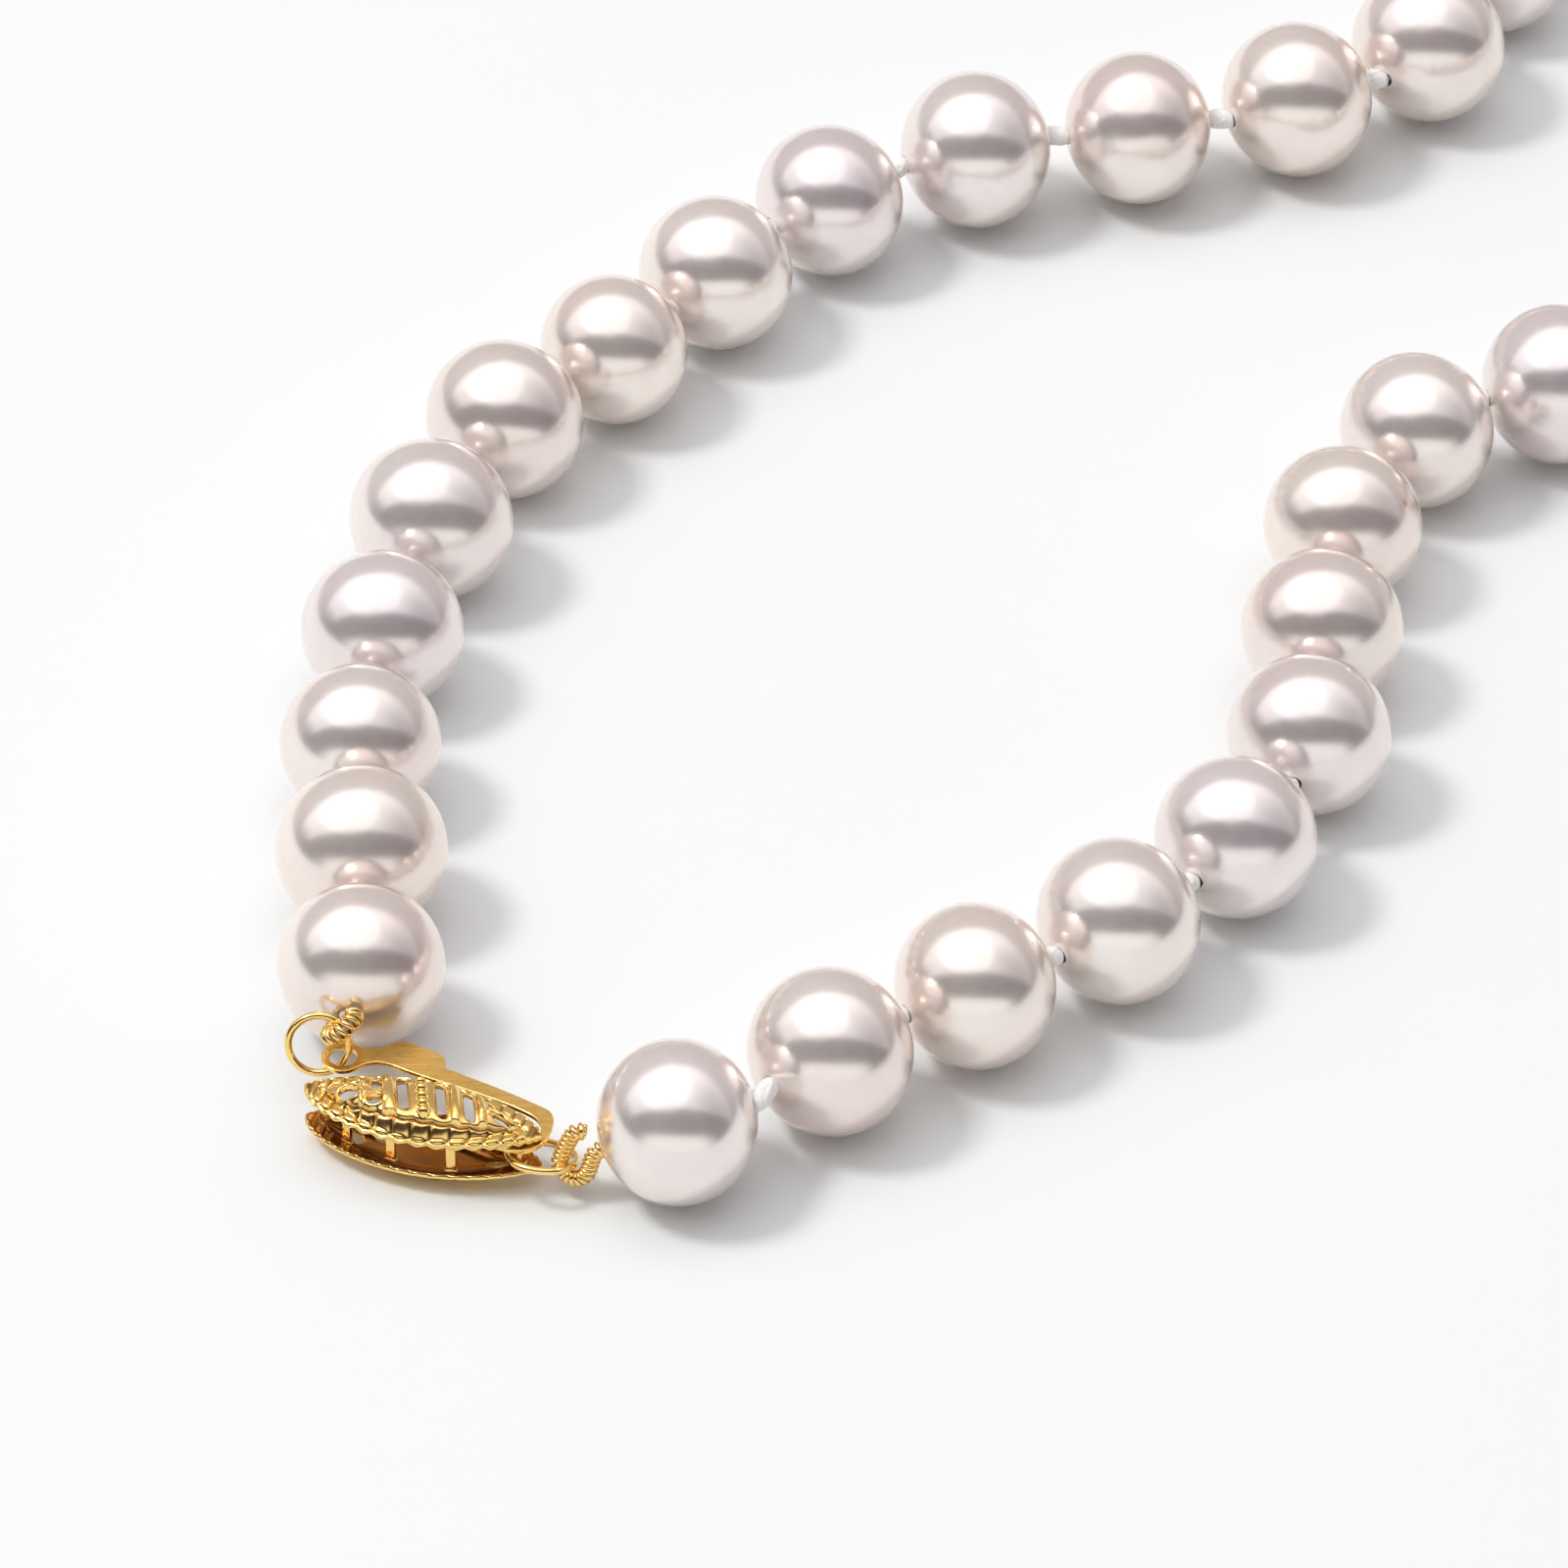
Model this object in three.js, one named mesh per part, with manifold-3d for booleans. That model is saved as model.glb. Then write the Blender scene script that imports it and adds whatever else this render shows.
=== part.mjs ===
// Pearl necklace: 44 knotted pearls on silk, closed by a filigree fishhook clasp.
// Millimetres, +Z up. The necklace lies on the plane z = 0, with the clasp at low X, low Y.
// The origin is the centre of the necklace's bounding box, at its lowest level.
import * as THREE from 'three';
import * as BufferGeometryUtils from 'three/addons/utils/BufferGeometryUtils.js';
import Module from 'manifold-3d';

const wasm = await Module();
wasm.setup();

// ---------------------------------------------------------------- driving dimensions
const ORIGIN = [42.573, 34.529];             // plan position of the bounding box's centre, in the layout below

const DRILL_RATIO = 0.95;            // a pearl's length along its hole, over its width
const BORE_R = 0.42;                 // drilled hole, radius
const PEARL_SIDES = 12;
const PEARL_BANDS = 6;

const THREAD_R = 0.18;               // doubled silk, radius
const KNOT_R = 0.57;                  // knot between two pearls, largest radius
const KNOT_CLEAR = 0.15;             // knot to pearl, each side
const THREAD_SIDES = 6;

const CLASP_CENTRE = [-17.9, -28.72];
const CLASP_TURN = -18.2;            // degrees, direction of the clasp's long axis
const CASE_HALF_LENGTH = 6.25;
const NEAR_SIDE = { width: 2.42, peak: -0.5, power: [0.6, 0.85] };   // the outline's near side: rounder at the left end
const FAR_SIDE = { width: 2.06, peak: 0.4, power: [0.816, 0.7] };
const PLATE = 0.27;                  // sheet thickness
const LOW_RIM = [0.95, 1.22];        // bottom plate's rim, underside and top
const HIGH_RIM = [2.98, 3.25];       // top plate's rim
const DOME = 0.95;                   // height of each dome beyond its rim
const FLUTES = 13;                   // scallops along each side of the border
const POST_GAP = 0.02;               // solder gap, post to plate

const END_POST = { at: [5.0, 0], r: 0.32 };
const SIDE_POSTS = [                 // flat posts by the near rim, [x, y]
  [-3.6, -1.23],
  [-1.1, -1.8],
  [2.0, -1.66],
];
const SIDE_POST_SIZE = [0.5, 0.24];

const HOOK_Z = [2.6, 2.86];          // the stamped hook lies just under the top plate's rim
const HOOK_HOLE = { at: [-5.3, 2.92], r: 0.7 };

const RING_WIRE_R = 0.2;
const RING_LEFT_R = 1.53;            // to the wire's centre
const RING_LEFT_UP = [0, 0.35, 0.937];     // the ring stands nearly upright, leaning back
const RING_LEFT_OFFSET = [-1.2, 0.78, 0.12];   // ring's centre from the hook's hole: along X, up in its own plane, and off that plane
const RING_RIGHT_R = 1.72;
const RING_RIGHT_AT = [6.18, 0, 1.85];     // in the clasp's own axes
const RING_RIGHT_TILT = 18;          // degrees, its near side up

const GIMP_R = 0.44;                 // French wire coil, outer radius
const GIMP_BEND = 0.78;               // radius of its loop round a ring's wire
const GIMP_FOOT = 0.62;              // half the distance between its two ends, at the pearl
const GIMP_CLEAR = 0.34;             // its ends to the pearl
const GIMP_SPREAD = 0.5;             // share of the way its legs have opened a fifth of the way up
const END_AIM_LEFT = [-0.17, -0.985, 0.02];   // direction of the first left pearl's hole, towards the clasp
const END_AIM_RIGHT = [-0.968, -0.05, -0.24];  // the same for the first right pearl
const GIMP_ANGLE_LEFT = 40;          // degrees round the left ring, from its +X side
const GIMP_ANGLE_RIGHT = 0;

// pearls from the clasp outwards: plan position of the centre, and radius
const LEFT = [
  [-21.20, -19.05, 4.28], [-21.43, -10.27, 4.41], [-21.72, -1.61, 4.17], [-20.82, 7.31, 4.26],
  [-18.49, 16.27, 4.35], [-14.79, 24.75, 4.29], [-9.09, 30.99, 4.06], [-3.69, 37.41, 4.22],
  [2.45, 43.88, 4.15], [10.42, 48.21, 4.30], [19.30, 50.27, 4.19], [28.05, 52.76, 4.28],
  [35.43, 57.66, 4.30], [39.39, 65.75, 4.26], [43.67, 73.42, 4.23], [48.52, 80.73, 4.25],
  [54.15, 87.44, 4.21], [60.69, 93.16, 4.18], [68.23, 97.47, 4.20], [76.58, 99.82, 4.17],
  [85.28, 99.72, 4.23], [93.64, 96.86, 4.31]
];
const RIGHT = [
  [-5.28, -30.71, 4.21], [2.29, -25.57, 4.30], [9.57, -20.58, 4.25], [16.85, -15.67, 4.29],
  [22.96, -9.17, 4.24], [26.95, -1.09, 4.26], [27.91, 7.47, 4.25], [29.28, 16.09, 4.20],
  [33.47, 23.93, 4.20], [41.15, 27.75, 4.28], [49.26, 30.99, 4.15], [57.39, 33.71, 4.12],
  [65.63, 36.26, 4.20], [73.84, 38.99, 4.15], [81.91, 42.29, 4.27], [89.62, 46.54, 4.23],
  [96.44, 51.93, 4.17], [101.98, 58.66, 4.24], [105.63, 66.64, 4.25], [106.78, 75.37, 4.26],
  [105.05, 83.95, 4.19], [100.53, 91.38, 4.20]
];

// ---------------------------------------------------------------- materials
const nacre = (hex) => new THREE.MeshStandardMaterial({ color: hex, roughness: 0.28, metalness: 0.0 });
const NACRES = [0xf4ece6, 0xf2e9e4, 0xf6f0ea, 0xf1e8e2].map(nacre);
const gold = new THREE.MeshStandardMaterial({ color: 0xe3b23c, roughness: 0.2, metalness: 1.0 });
const satinGold = new THREE.MeshStandardMaterial({ color: 0xd9a441, roughness: 0.4, metalness: 1.0 });
const silk = new THREE.MeshStandardMaterial({ color: 0xf7f5f2, roughness: 0.7, metalness: 0.0 });

const group = new THREE.Group();
group.position.set(-ORIGIN[0], -ORIGIN[1], 0);
const clasp = new THREE.Group();
clasp.position.set(CLASP_CENTRE[0], CLASP_CENTRE[1], 0);
clasp.rotation.z = THREE.MathUtils.degToRad(CLASP_TURN);
group.add(clasp);

function add(parent, name, geometry, material) {
  const mesh = new THREE.Mesh(geometry, material);
  mesh.name = name;
  parent.add(mesh);
  return mesh;
}

// ---------------------------------------------------------------- solids
function toManifold(geometry) {
  const g = geometry.clone();
  g.deleteAttribute('normal');
  g.deleteAttribute('uv');
  const m = BufferGeometryUtils.mergeVertices(g, 1e-4);
  return new wasm.Manifold(new wasm.Mesh({
    numProp: 3,
    vertProperties: new Float32Array(m.attributes.position.array),
    triVerts: new Uint32Array(m.index.array),
  }));
}

function toGeometry(manifold) {
  const mesh = manifold.getMesh();
  const g = new THREE.BufferGeometry();
  const p = new Float32Array(mesh.numVert * 3);
  for (let i = 0; i < mesh.numVert; i++) {
    for (let k = 0; k < 3; k++) p[3 * i + k] = mesh.vertProperties[mesh.numProp * i + k];
  }
  g.setAttribute('position', new THREE.BufferAttribute(p, 3));
  g.setIndex(new THREE.BufferAttribute(new Uint32Array(mesh.triVerts), 1));
  g.computeVertexNormals();
  return g;
}

const V = (a) => new THREE.Vector3(a[0], a[1], a[2]);

// a frame whose Y runs along a direction and whose Z points up as nearly as it can
function frameAlong(direction, at) {
  const y = direction.clone().normalize();
  const x = new THREE.Vector3().crossVectors(y, new THREE.Vector3(0, 0, 1)).normalize();
  const z = new THREE.Vector3().crossVectors(x, y);
  return new THREE.Matrix4().makeBasis(x, y, z).setPosition(at);
}

// ---------------------------------------------------------------- pearls
// Each pearl stands on z = 0, so its centre is at its own radius. Its hole runs from the knot before it to the knot after it.
function strand(plan, firstAim, nextPearl) {
  const c = plan.map(([x, y, r]) => new THREE.Vector3(x, y, r));
  const out = [];
  for (let i = 0; i < c.length; i++) {
    const r = plan[i][2];
    const after = i + 1 < c.length ? c[i + 1] : nextPearl;
    let dir;
    if (i === 0) {
      // the first pearl's hole is aimed at the clasp
      dir = V(firstAim).normalize().negate();
    } else {
      // between the hole before it and the pearl after it
      const back = c[i].clone().sub(out[i - 1].end).normalize();
      dir = after.clone().sub(c[i]).normalize().add(back).normalize();
    }
    const half = r * DRILL_RATIO;
    const mouth = Math.sqrt(1 - (BORE_R / r) ** 2) * half;
    out.push({
      centre: c[i], r, half, dir,
      start: c[i].clone().addScaledVector(dir, -mouth),
      end: c[i].clone().addScaledVector(dir, mouth),
    });
  }
  return out;
}

function pearlGeometry(r, half) {
  const first = Math.asin(BORE_R / r);
  const profile = [];
  for (let i = 0; i <= PEARL_BANDS; i++) {
    const a = first + (Math.PI - 2 * first) * (i / PEARL_BANDS);
    profile.push(new THREE.Vector2(r * Math.sin(a), -half * Math.cos(a)));
  }
  profile.push(profile[0].clone());
  return new THREE.LatheGeometry(profile, PEARL_SIDES);
}

function addPearls(pearls, side) {
  pearls.forEach((p, i) => {
    const name = `pearl_${side}_${String(i + 1).padStart(2, '0')}`;
    const mesh = add(group, name, pearlGeometry(p.r, p.half), NACRES[(i * 3 + (side === 'left' ? 0 : 1)) % NACRES.length]);
    mesh.applyMatrix4(frameAlong(p.dir, p.centre));
  });
}

// The silk is one length through all of a side's pearls, with a knot after each. Its profile is turned as a straight cord and then bent along the holes.
function threadGeometry(pearls, startInset, last) {
  const stations = [];
  const put = (at, r) => stations.push({ at: at.clone(), r });
  pearls.forEach((p, i) => {
    const along = p.end.clone().sub(p.start);
    if (i === 0) put(p.start.clone().addScaledVector(along, startInset), THREAD_R);
    put(p.centre, THREAD_R);
    put(p.start.clone().addScaledVector(along, 0.95), THREAD_R);
    const next = i + 1 < pearls.length ? pearls[i + 1].start : last;
    if (!next) return;
    const gap = next.clone().sub(p.end);
    const length = gap.length();
    const k = KNOT_CLEAR / length;
    const at = (t) => p.end.clone().addScaledVector(gap, t);
    put(at(k), THREAD_R * 1.15);
    put(at(0.4), KNOT_R * 0.94);
    put(at(0.6), KNOT_R * 0.94);
    put(at(1 - k), THREAD_R * 1.15);
    if (i + 1 < pearls.length) {
      const on = pearls[i + 1];
      put(on.start.clone().addScaledVector(on.end.clone().sub(on.start), 0.05), THREAD_R);
    }
  });
  const s = [0];
  for (let i = 1; i < stations.length; i++) s.push(s[i - 1] + stations[i].at.distanceTo(stations[i - 1].at));
  const profile = [new THREE.Vector2(0, s[0])];
  stations.forEach((q, i) => profile.push(new THREE.Vector2(q.r, s[i])));
  profile.push(new THREE.Vector2(0, s[s.length - 1]));
  const g = new THREE.LatheGeometry(profile, THREAD_SIDES);
  const frames = stations.map((q, i) => {
    const a = stations[Math.max(0, i - 1)].at;
    const b = stations[Math.min(stations.length - 1, i + 1)].at;
    return frameAlong(b.clone().sub(a), q.at);
  });
  const pos = g.attributes.position;
  for (let i = 0; i < pos.count; i++) {
    const y = pos.getY(i);
    let n = 0;
    while (n + 1 < s.length && Math.abs(s[n + 1] - y) < Math.abs(s[n] - y)) n++;
    const v = new THREE.Vector3(pos.getX(i), 0, pos.getZ(i)).applyMatrix4(frames[n]);
    pos.setXYZ(i, v.x, v.y, v.z);
  }
  g.computeVertexNormals();
  return g;
}

const leftLast = V(LEFT[LEFT.length - 1]);
const rightLast = V(RIGHT[RIGHT.length - 1]);
const left = strand(LEFT, END_AIM_LEFT, rightLast);
const right = strand(RIGHT, END_AIM_RIGHT, leftLast);
addPearls(left, 'left');
addPearls(right, 'right');
add(group, 'silk_thread_left', threadGeometry(left, 0.05, right[right.length - 1].end), silk);
add(group, 'silk_thread_right', threadGeometry(right, 0.05, null), silk);

// ---------------------------------------------------------------- clasp case
function sideWidth(side, x) {
  const leftOf = x < side.peak;
  const u = (x - side.peak) / (leftOf ? CASE_HALF_LENGTH + side.peak : CASE_HALF_LENGTH - side.peak);
  return side.width * Math.max(0, 1 - u * u) ** side.power[leftOf ? 0 : 1];
}

// height of the dome over the rim; the tips and a narrow border stay flat
function dome(x, y) {
  const near = sideWidth(NEAR_SIDE, x);
  const far = sideWidth(FAR_SIDE, x);
  const w = 0.42 * (near + far);
  if (w <= 0) return 0;
  const q = (x / 4.6) ** 2 + ((y - (far - near) / 2) / w) ** 2;
  return q < 1 ? DOME * (1 - q) ** 0.6 : 0;
}

function oval(x, y, rx, ry, turn, n = 10) {
  const hole = new THREE.Path();
  for (let i = 0; i < n; i++) {
    const a = (-2 * Math.PI * i) / n;
    const u = rx * Math.cos(a);
    const v = ry * Math.sin(a);
    const p = [x + u * Math.cos(turn) - v * Math.sin(turn), y + u * Math.sin(turn) + v * Math.cos(turn)];
    if (i === 0) hole.moveTo(...p);
    else hole.lineTo(...p);
  }
  hole.closePath();
  return hole;
}

function slot(x, halfLength, width, slant, y = 0) {
  const hole = new THREE.Path();
  const n = 4;
  const pts = [];
  for (let i = 0; i <= n; i++) {
    const t = -1 + (2 * i) / n;
    pts.push([x - width / 2 + slant * t * halfLength, y + t * halfLength]);
  }
  for (let i = n; i >= 0; i--) {
    const t = -1 + (2 * i) / n;
    pts.push([x + width / 2 + slant * t * halfLength, y + t * halfLength]);
  }
  pts.reverse();
  pts.forEach((p, i) => (i === 0 ? hole.moveTo(...p) : hole.lineTo(...p)));
  hole.closePath();
  return hole;
}

function plateShape(openings) {
  const shape = new THREE.Shape();
  const steps = FLUTES * 4;
  const pts = [];
  for (const side of [-1, 1]) {
    for (let i = 0; i < steps; i++) {
      const t = i / steps;
      const x = side * CASE_HALF_LENGTH * Math.cos(Math.PI * t);
      const wave = 0.07 * Math.abs(Math.sin(FLUTES * Math.PI * t));
      const w = sideWidth(side < 0 ? NEAR_SIDE : FAR_SIDE, x) + 0.06 + wave;
      pts.push([x, side * w]);
    }
  }
  pts.forEach((p, i) => (i === 0 ? shape.moveTo(...p) : shape.lineTo(...p)));
  shape.closePath();
  shape.holes.push(...openings);
  return shape;
}

const BAR_SLANT = -0.42;             // the bars lean, against the clasp's short axis
const topOpenings = [
  oval(-3.65, -0.62, 0.5, 0.3, 0.05),      // scroll loops at the left end
  oval(-3.75, 0.3, 0.36, 0.24, 0.3),
  oval(-2.22, -0.95, 0.32, 0.24, 0.1),
  slot(-2.62, 0.46, 0.42, BAR_SLANT, 0.38),
  slot(-1.1, 1.16, 0.5, BAR_SLANT, 0.02),  // openings between the bars
  slot(0.95, 1.09, 0.46, BAR_SLANT, -0.03),
  slot(2.38, 0.86, 0.5, BAR_SLANT, 0.06),
  oval(3.55, 0.52, 0.4, 0.13, -0.35),      // slits of the leaf at the right end
  oval(4.1, -0.12, 0.45, 0.12, -0.1),
];
const bottomOpenings = [
  oval(-3.65, -0.2, 0.5, 0.34, 0.05),
  oval(-2.3, 0.5, 0.36, 0.3, 0.1),
  oval(3.9, 0.0, 0.5, 0.14, 0),
];

function plateGeometry(up) {
  const g = new THREE.ExtrudeGeometry(plateShape(up ? topOpenings : bottomOpenings), { depth: PLATE, bevelEnabled: false, steps: 1, curveSegments: 4 });
  const pos = g.attributes.position;
  for (let i = 0; i < pos.count; i++) {
    const x = pos.getX(i);
    const y = pos.getY(i);
    const z = pos.getZ(i);
    const lift = dome(x, y);
    pos.setZ(i, up ? HIGH_RIM[0] + z + lift : LOW_RIM[0] + z - lift);
  }
  return toGeometry(toManifold(g));
}

const topPlate = plateGeometry(true);
// five beads stacked across the middle of the top plate
let beaded = toManifold(topPlate);
for (let i = 0; i < 5; i++) {
  const y = -1.2 + i * 0.52;
  const x = -0.06 + BAR_SLANT * y;
  const bead = new THREE.SphereGeometry(0.29, 8, 6);
  bead.translate(x, y, HIGH_RIM[1] + dome(x, y) - 0.05);
  beaded = beaded.add(toManifold(bead));
}
add(clasp, 'case_top_plate', toGeometry(beaded), gold);
add(clasp, 'case_bottom_plate', plateGeometry(false), gold);

const postLow = LOW_RIM[1] + POST_GAP;
const postHigh = HIGH_RIM[0] - POST_GAP;
SIDE_POSTS.forEach(([x, y], i) => {
  const g = new THREE.BoxGeometry(SIDE_POST_SIZE[0], SIDE_POST_SIZE[1], postHigh - postLow);
  const m = add(clasp, `side_post_${i + 1}`, g, satinGold);
  m.position.set(x, y, (postLow + postHigh) / 2);
  m.rotation.z = x * 0.11;
});
{
  const g = new THREE.CylinderGeometry(END_POST.r, END_POST.r, postHigh - postLow, 16);
  const m = add(clasp, 'end_post', g, satinGold);
  m.rotation.x = Math.PI / 2;
  m.position.set(END_POST.at[0], END_POST.at[1], (postLow + postHigh) / 2);
}

// ---------------------------------------------------------------- hook
// One flat stamping: an eye at the left, a thumb tab, a straight strip beside the case, and an arm that turns back round the end post.
{
  const [ex, ey] = HOOK_HOLE.at;
  const pts = [];
  const lug = 1.1;
  for (let i = 0; i <= 12; i++) {
    const a = THREE.MathUtils.degToRad(58 + i * (267 / 12));   // round the eye, far side to near side
    pts.push([ex + lug * Math.cos(a), ey + lug * Math.sin(a)]);
  }
  pts.push(
    [-4.04, 2.72], [-3.59, 3.02], [-2.93, 3.08], [-2.1, 2.94], [-1.0, 2.76], [0.2, 2.62], [2.6, 2.3], [4.4, 1.92],
    [5.3, 1.58], [5.78, 1.08], [5.9, 0.45], [5.7, -0.06], [5.3, -0.4], [4.9, -0.5], [3.4, -0.46],
    [2.75, -0.42], [2.42, -0.78], [2.75, -1.08], [3.4, -1.02], [5.0, -1.04], [5.65, -0.88],
    [6.1, -0.42], [6.36, 0.3], [6.38, 1.1], [6.2, 1.82], [5.85, 2.28], [5.1, 2.53], [3.4, 2.97], [2.2, 3.23],
    [0.5, 3.56], [-0.14, 3.7], [-0.24, 4.02], [-0.5, 4.42], [-1.0, 4.67], [-1.72, 4.8], [-2.46, 4.95],
    [-3.05, 4.85], [-3.45, 4.42], [-3.92, 4.02], [-4.35, 3.86],
  );
  const shape = new THREE.Shape();
  pts.forEach((p, i) => (i === 0 ? shape.moveTo(...p) : shape.lineTo(...p)));
  shape.closePath();
  shape.holes.push(oval(ex, ey, HOOK_HOLE.r, HOOK_HOLE.r, 0, 16));
  const g = new THREE.ExtrudeGeometry(shape, { depth: HOOK_Z[1] - HOOK_Z[0], bevelEnabled: false, steps: 1 });
  g.translate(0, 0, HOOK_Z[0]);
  add(clasp, 'hook', g, satinGold);
}

// ---------------------------------------------------------------- jump rings
function ringGeometry(radius) {
  const profile = [];
  for (let i = 0; i <= 8; i++) {
    const a = (2 * Math.PI * i) / 8 + Math.PI / 8;
    profile.push(new THREE.Vector2(radius + RING_WIRE_R * Math.cos(a), RING_WIRE_R * Math.sin(a)));
  }
  return new THREE.LatheGeometry(profile, 28);
}

const claspMatrix = new THREE.Matrix4()
  .makeRotationZ(THREE.MathUtils.degToRad(CLASP_TURN))
  .setPosition(CLASP_CENTRE[0], CLASP_CENTRE[1], 0);

// left ring, through the hook's eye
const eye = new THREE.Vector3(HOOK_HOLE.at[0], HOOK_HOLE.at[1], (HOOK_Z[0] + HOOK_Z[1]) / 2).applyMatrix4(claspMatrix);
const leftU = new THREE.Vector3(1, 0, 0);
const leftV = V(RING_LEFT_UP).normalize();
const leftN = new THREE.Vector3().crossVectors(leftU, leftV);
const leftC = eye.clone().addScaledVector(leftU, RING_LEFT_OFFSET[0]).addScaledVector(leftV, RING_LEFT_OFFSET[1]).addScaledVector(leftN, RING_LEFT_OFFSET[2]);
{
  const m = add(group, 'jump_ring_left', ringGeometry(RING_LEFT_R), gold);
  m.applyMatrix4(new THREE.Matrix4().makeBasis(leftU, leftN, leftV.clone().negate()).setPosition(leftC));
}

// right ring, round the end post between the plates
const tilt = THREE.MathUtils.degToRad(RING_RIGHT_TILT);
const rightC = V(RING_RIGHT_AT).applyMatrix4(claspMatrix);
const rightU = new THREE.Vector3(1, 0, 0).transformDirection(claspMatrix);
const rightV = new THREE.Vector3(0, Math.cos(tilt), -Math.sin(tilt)).transformDirection(claspMatrix);
const rightN = new THREE.Vector3().crossVectors(rightU, rightV);
{
  const m = add(group, 'jump_ring_right', ringGeometry(RING_RIGHT_R), gold);
  m.applyMatrix4(new THREE.Matrix4().makeBasis(rightU, rightN, rightV.clone().negate()).setPosition(rightC));
}

// ---------------------------------------------------------------- French wire loops
// A coil of fine wire over the silk, modelled here by its outer tube: two legs from the pearl's hole and a bend round the ring.
function gimp(name, c, u, v, radius, angleDeg, pearl) {
  const a = THREE.MathUtils.degToRad(angleDeg);
  const wire = c.clone().addScaledVector(u, radius * Math.cos(a)).addScaledVector(v, radius * Math.sin(a));
  const tangent = u.clone().multiplyScalar(-Math.sin(a)).addScaledVector(v, Math.cos(a));
  const out = pearl.dir.clone().negate();                 // out of the pearl's hole
  const hole = pearl.start.clone();
  // the bend lies square to the ring's wire
  const g = hole.clone().sub(wire);
  g.addScaledVector(tangent, -g.dot(tangent)).normalize();
  const b = new THREE.Vector3().crossVectors(tangent, g).normalize();
  const reach = hole.distanceTo(wire);
  const foot = (side) => hole.clone().addScaledVector(out, GIMP_CLEAR).addScaledVector(b, side * GIMP_FOOT);
  const neck = (side) => foot(side).addScaledVector(out, 0.22 * reach).addScaledVector(b, side * GIMP_SPREAD * (GIMP_BEND - GIMP_FOOT));
  const flank = (side) => wire.clone().addScaledVector(b, side * GIMP_BEND);
  const turn = (side, t) => wire.clone()
    .addScaledVector(b, side * GIMP_BEND * Math.cos(t))
    .addScaledVector(g, -GIMP_BEND * Math.sin(t));
  const curve = new THREE.CatmullRomCurve3([
    foot(1), neck(1), flank(1), turn(1, Math.PI / 4), turn(1, Math.PI / 2), turn(-1, Math.PI / 4), flank(-1), neck(-1), foot(-1),
  ], false, 'centripetal');
  const section = new THREE.Shape();
  for (let i = 0; i < 8; i++) {
    const t = (2 * Math.PI * i) / 8 + Math.PI / 8;
    const p = [GIMP_R * Math.cos(t), GIMP_R * Math.sin(t)];
    if (i === 0) section.moveTo(...p);
    else section.lineTo(...p);
  }
  section.closePath();
  add(group, name, new THREE.ExtrudeGeometry(section, { steps: 22, bevelEnabled: false, extrudePath: curve }), gold);
  return { wire, tangent };
}

gimp('french_wire_left', leftC, leftU, leftV, RING_LEFT_R, GIMP_ANGLE_LEFT, left[0]);
gimp('french_wire_right', rightC, rightU, rightV, RING_RIGHT_R, GIMP_ANGLE_RIGHT, right[0]);

export default group;
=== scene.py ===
# Pearl necklace: the looks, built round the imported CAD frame.
import math

import bpy
import numpy as np
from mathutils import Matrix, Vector


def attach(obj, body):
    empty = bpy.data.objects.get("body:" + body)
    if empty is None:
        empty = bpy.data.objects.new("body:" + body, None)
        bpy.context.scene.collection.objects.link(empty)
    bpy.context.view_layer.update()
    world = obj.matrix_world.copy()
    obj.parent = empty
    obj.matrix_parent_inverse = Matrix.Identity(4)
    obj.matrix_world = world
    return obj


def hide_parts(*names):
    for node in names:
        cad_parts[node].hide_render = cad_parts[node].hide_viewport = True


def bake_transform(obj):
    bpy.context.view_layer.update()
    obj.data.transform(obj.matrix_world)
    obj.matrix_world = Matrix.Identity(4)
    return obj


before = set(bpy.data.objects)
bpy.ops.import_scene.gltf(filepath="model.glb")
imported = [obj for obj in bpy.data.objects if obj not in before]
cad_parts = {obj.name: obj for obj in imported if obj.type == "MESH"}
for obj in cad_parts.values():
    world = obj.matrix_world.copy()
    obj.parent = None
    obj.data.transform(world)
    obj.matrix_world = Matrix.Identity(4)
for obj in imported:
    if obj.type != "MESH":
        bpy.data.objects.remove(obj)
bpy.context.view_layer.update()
MM = 0.001
rng = np.random.default_rng(7)

# ---------------------------------------------------------------- the layout, in millimetres
ORIGIN = np.array([42.573, 34.529, 0.0])
LEFT = [
    [-21.20, -19.05, 4.28], [-21.43, -10.27, 4.41], [-21.72, -1.61, 4.17], [-20.82, 7.31, 4.26],
    [-18.49, 16.27, 4.35], [-14.79, 24.75, 4.29], [-9.09, 30.99, 4.06], [-3.69, 37.41, 4.22],
    [2.45, 43.88, 4.15], [10.42, 48.21, 4.30], [19.30, 50.27, 4.19], [28.05, 52.76, 4.28],
    [35.43, 57.66, 4.30], [39.39, 65.75, 4.26], [43.67, 73.42, 4.23], [48.52, 80.73, 4.25],
    [54.15, 87.44, 4.21], [60.69, 93.16, 4.18], [68.23, 97.47, 4.20], [76.58, 99.82, 4.17],
    [85.28, 99.72, 4.23], [93.64, 96.86, 4.31],
]
RIGHT = [
    [-5.28, -30.71, 4.21], [2.29, -25.57, 4.30], [9.57, -20.58, 4.25], [16.85, -15.67, 4.29],
    [22.96, -9.17, 4.24], [26.95, -1.09, 4.26], [27.91, 7.47, 4.25], [29.28, 16.09, 4.20],
    [33.47, 23.93, 4.20], [41.15, 27.75, 4.28], [49.26, 30.99, 4.15], [57.39, 33.71, 4.12],
    [65.63, 36.26, 4.20], [73.84, 38.99, 4.15], [81.91, 42.29, 4.27], [89.62, 46.54, 4.23],
    [96.44, 51.93, 4.17], [101.98, 58.66, 4.24], [105.63, 66.64, 4.25], [106.78, 75.37, 4.26],
    [105.05, 83.95, 4.19], [100.53, 91.38, 4.20],
]
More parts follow.
